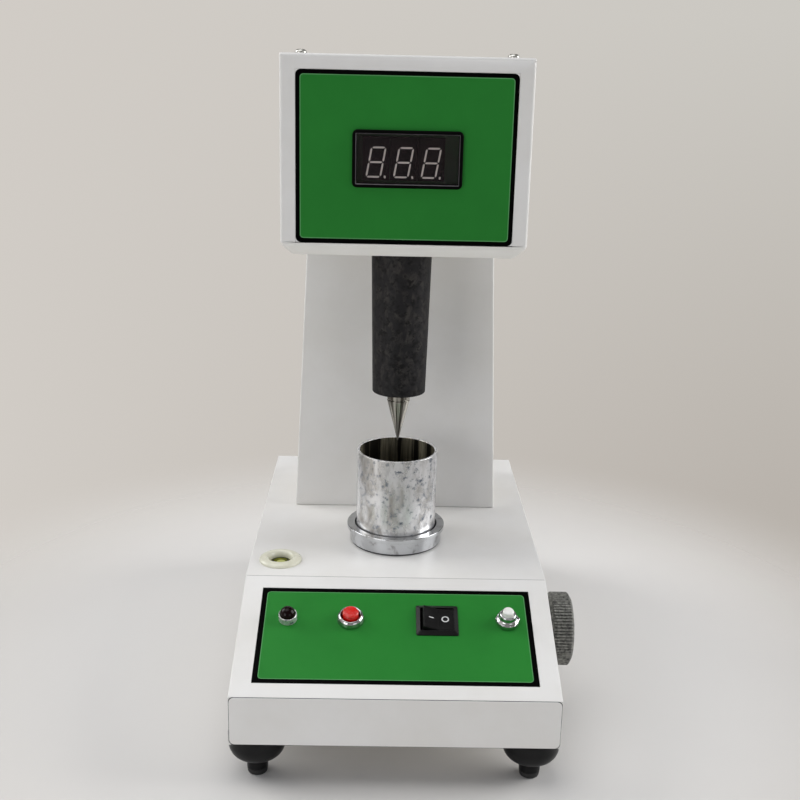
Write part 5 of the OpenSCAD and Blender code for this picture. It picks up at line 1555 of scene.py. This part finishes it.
@dataclass
class Studio:
    """Camera at the photograph's place, a pale floor that runs out into a pale wall, and soft lights."""

    camera_mm: tuple[float, float, float] = (-18.9, -734.8, 405.2)
    pitch: float = 16.52
    yaw: float = 1.02
    roll: float = 1.36
    focal_px: float = 1145.1
    picture_px: int = 800
    sensor: float = 36.0
    floor_colour: str = "#DEDBD6"
    floor_half: float = 4.0
    floor_fade: tuple[float, float] = (0.18, 0.46)
    wall_left: str = "#D1CCC6"
    wall_right: str = "#CBC8C2"
    wall_right_low: str = "#B9B3AC"
    wall_across: tuple[float, float] = (-0.33, 0.33)
    wall_up: tuple[float, float] = (-0.34, 0.04)
    ambient: float = 0.23
    ambient_colour: str = "#DEE8FF"
    lamps: tuple[Lamp, ...] = (
        Lamp("key", (-0.35, -0.12, 2.0), 1.5, 14.2),
        Lamp("front_left_fill", (-1.1, -1.5, 0.35), 0.9, 7.5),
        Lamp("front_right_fill", (0.95, -1.6, 0.3), 0.9, 2.5),
        Lamp("right_fill", (1.6, 0.1, 0.85), 1.2, 24.0),
        Lamp("left_fill", (-1.6, 0.5, 1.2), 1.2, 20.0),
    )
    room: tuple[tuple[float, float], ...] = (
        (0.0, 0.8), (0.12, 0.25), (0.2, 0.35), (0.27, 1.1), (0.34, 1.1), (0.41, 0.45), (0.5, 0.55),
        (0.6, 0.4), (0.68, 0.55), (0.75, 0.6), (0.82, 0.25), (0.9, 0.3), (1.0, 0.8))

    def build(self) -> None:
        """Makes the camera, the floor, the lamps and the world."""
        scene = bpy.context.scene
        scene.view_settings.view_transform = "Standard"
        self._camera(scene)
        self._floor()
        for lamp in self.lamps:
            lamp.build()
        self._world(scene)

    def _camera(self, scene: Scene) -> None:
        """Sets up the camera from the fitted view.

        Args:
            scene: Scene that gets it.
        """
        lens = bpy.data.cameras.new("camera")
        lens.sensor_width = self.sensor
        lens.lens = self.focal_px / self.picture_px * self.sensor
        lens.clip_start = 0.01
        camera = bpy.data.objects.new("camera", lens)
        scene.collection.objects.link(camera)
        pitch, yaw, roll = (math.radians(a) for a in (self.pitch, self.yaw, self.roll))
        ahead = Vector((math.sin(yaw) * math.cos(pitch), math.cos(yaw) * math.cos(pitch), -math.sin(pitch)))
        right = Vector((math.cos(yaw), -math.sin(yaw), 0))
        up = right.cross(ahead)
        across = right * math.cos(roll) + up * math.sin(roll)
        upward = up * math.cos(roll) - right * math.sin(roll)
        turn = Matrix((across, upward, -ahead)).transposed().to_4x4()
        camera.matrix_world = Matrix.Translation(Vector(self.camera_mm) * MM) @ turn
        scene.camera = camera

    def _seen(self, tree: NodeTree) -> NodeSocket:
        """Adds a switch that is 1 where the eye looks: straight, in a mirror or through glass.

        Args:
            tree: Node tree.

        Returns:
            The switch.
        """
        rays = add(tree, "ShaderNodeLightPath").outputs
        straight = calc(tree, "MAXIMUM", rays["Is Camera Ray"], rays["Is Glossy Ray"])
        return calc(tree, "MAXIMUM", straight, rays["Is Transmission Ray"])

    def _floor(self) -> None:
        """Makes the floor: it keeps the shadow near the object and fades into the wall far from it."""
        bm = bmesh.new()
        bmesh.ops.create_grid(bm, x_segments=1, y_segments=1, size=self.floor_half)
        floor = to_object("floor", bm)
        material = bpy.data.materials.new("paper_floor")
        material.use_nodes = True
        tree = material.node_tree
        shader = tree.nodes["Principled BSDF"]
        shader.inputs["Base Color"].default_value = linear(self.floor_colour)
        shader.inputs["Roughness"].default_value = 0.9
        shader.inputs["Specular IOR Level"].default_value = 0.1
        where = add(tree, "ShaderNodeTexCoord").outputs["Object"]
        away = add(tree, "ShaderNodeVectorMath", {0: where}, operation="LENGTH")
        far = ranged(tree, away.outputs["Value"], self.floor_fade, interpolation_type="SMOOTHSTEP")
        clear = add(tree, "ShaderNodeBsdfTransparent")
        mix = add(tree, "ShaderNodeMixShader", {
            0: calc(tree, "MULTIPLY", far, self._seen(tree)), 1: shader.outputs["BSDF"],
            2: clear.outputs["BSDF"]})
        tree.links.new(mix.outputs["Shader"], tree.nodes["Material Output"].inputs["Surface"])
        floor.data.materials.append(material)

    def _wall(self, tree: NodeTree, parts: Node) -> NodeSocket:
        """Adds the wall's colour, which falls off to the lower right as painted shade.

        Args:
            tree: Node tree.
            parts: Direction, split into x, y and z.

        Returns:
            The colour.
        """
        across = ranged(tree, parts.outputs["X"], self.wall_across)
        height = ranged(tree, parts.outputs["Z"], self.wall_up)
        right = blend(tree, height, linear(self.wall_right_low), linear(self.wall_right))
        return blend(tree, across, linear(self.wall_left), right)

    def _room(self, tree: NodeTree, parts: Node) -> NodeSocket:
        """Adds how bright the room is in each direction: windows at the sides, dim between and in front.

        Args:
            tree: Node tree.
            parts: Direction, split into x, y and z.

        Returns:
            Brightness that polished metal shows.
        """
        share = ranged(tree, bearing(tree, parts), (-math.pi, math.pi))
        ramp = add(tree, "ShaderNodeValToRGB", {"Fac": share})
        stops = ramp.color_ramp.elements
        for stop, (place, light) in zip([stops[0], stops[1]], (self.room[0], self.room[-1])):
            stop.position, stop.color = place, (light, light, light, 1)
        for place, light in self.room[1:-1]:
            stops.new(place).color = (light, light, light, 1)
        return ramp.outputs["Color"]

    def _world(self, scene: Scene) -> None:
        """Adds weak even light, the wall, and the room that polished metal shows.

        Args:
            scene: Scene that gets the world.
        """
        world = bpy.data.worlds.new("studio")
        world.use_nodes = True
        tree = world.node_tree
        where = add(tree, "ShaderNodeTexCoord").outputs["Generated"]
        parts = add(tree, "ShaderNodeSeparateXYZ", {"Vector": where})
        rays = add(tree, "ShaderNodeLightPath")
        dim = add(tree, "ShaderNodeMix", {
            0: rays.outputs["Is Glossy Ray"], FLOAT_A: 1.0, FLOAT_B: self._room(tree, parts)})
        even = tree.nodes["Background"]
        even.inputs["Color"].default_value = linear(self.ambient_colour)
        even.inputs["Strength"].default_value = self.ambient
        wall = add(tree, "ShaderNodeBackground", {
            "Color": self._wall(tree, parts), "Strength": dim.outputs[0]})
        mix = add(tree, "ShaderNodeMixShader", {
            0: self._seen(tree), 1: even.outputs["Background"], 2: wall.outputs["Background"]})
        tree.links.new(mix.outputs["Shader"], tree.nodes["World Output"].inputs["Surface"])
        scene.world = world


def write_sizes() -> None:
    bpy.context.view_layer.update()


def main() -> None:
    """Builds the studio and every sub-assembly, and reports each piece."""
    logging.basicConfig(level=logging.INFO, format="%(name)s %(message)s")
    paintbox = Paintbox()
    paintbox.dress_nodes()
    Studio().build()
    for assembly in (SheetCase, Controls, HeadFront, Level, Lift, ConeUnit, Feet, Fasteners, RearFittings):
        assembly(paintbox).build()
        LOG.info("%s done", assembly.__name__)
    write_sizes()


if __name__ == "__main__":
    main()
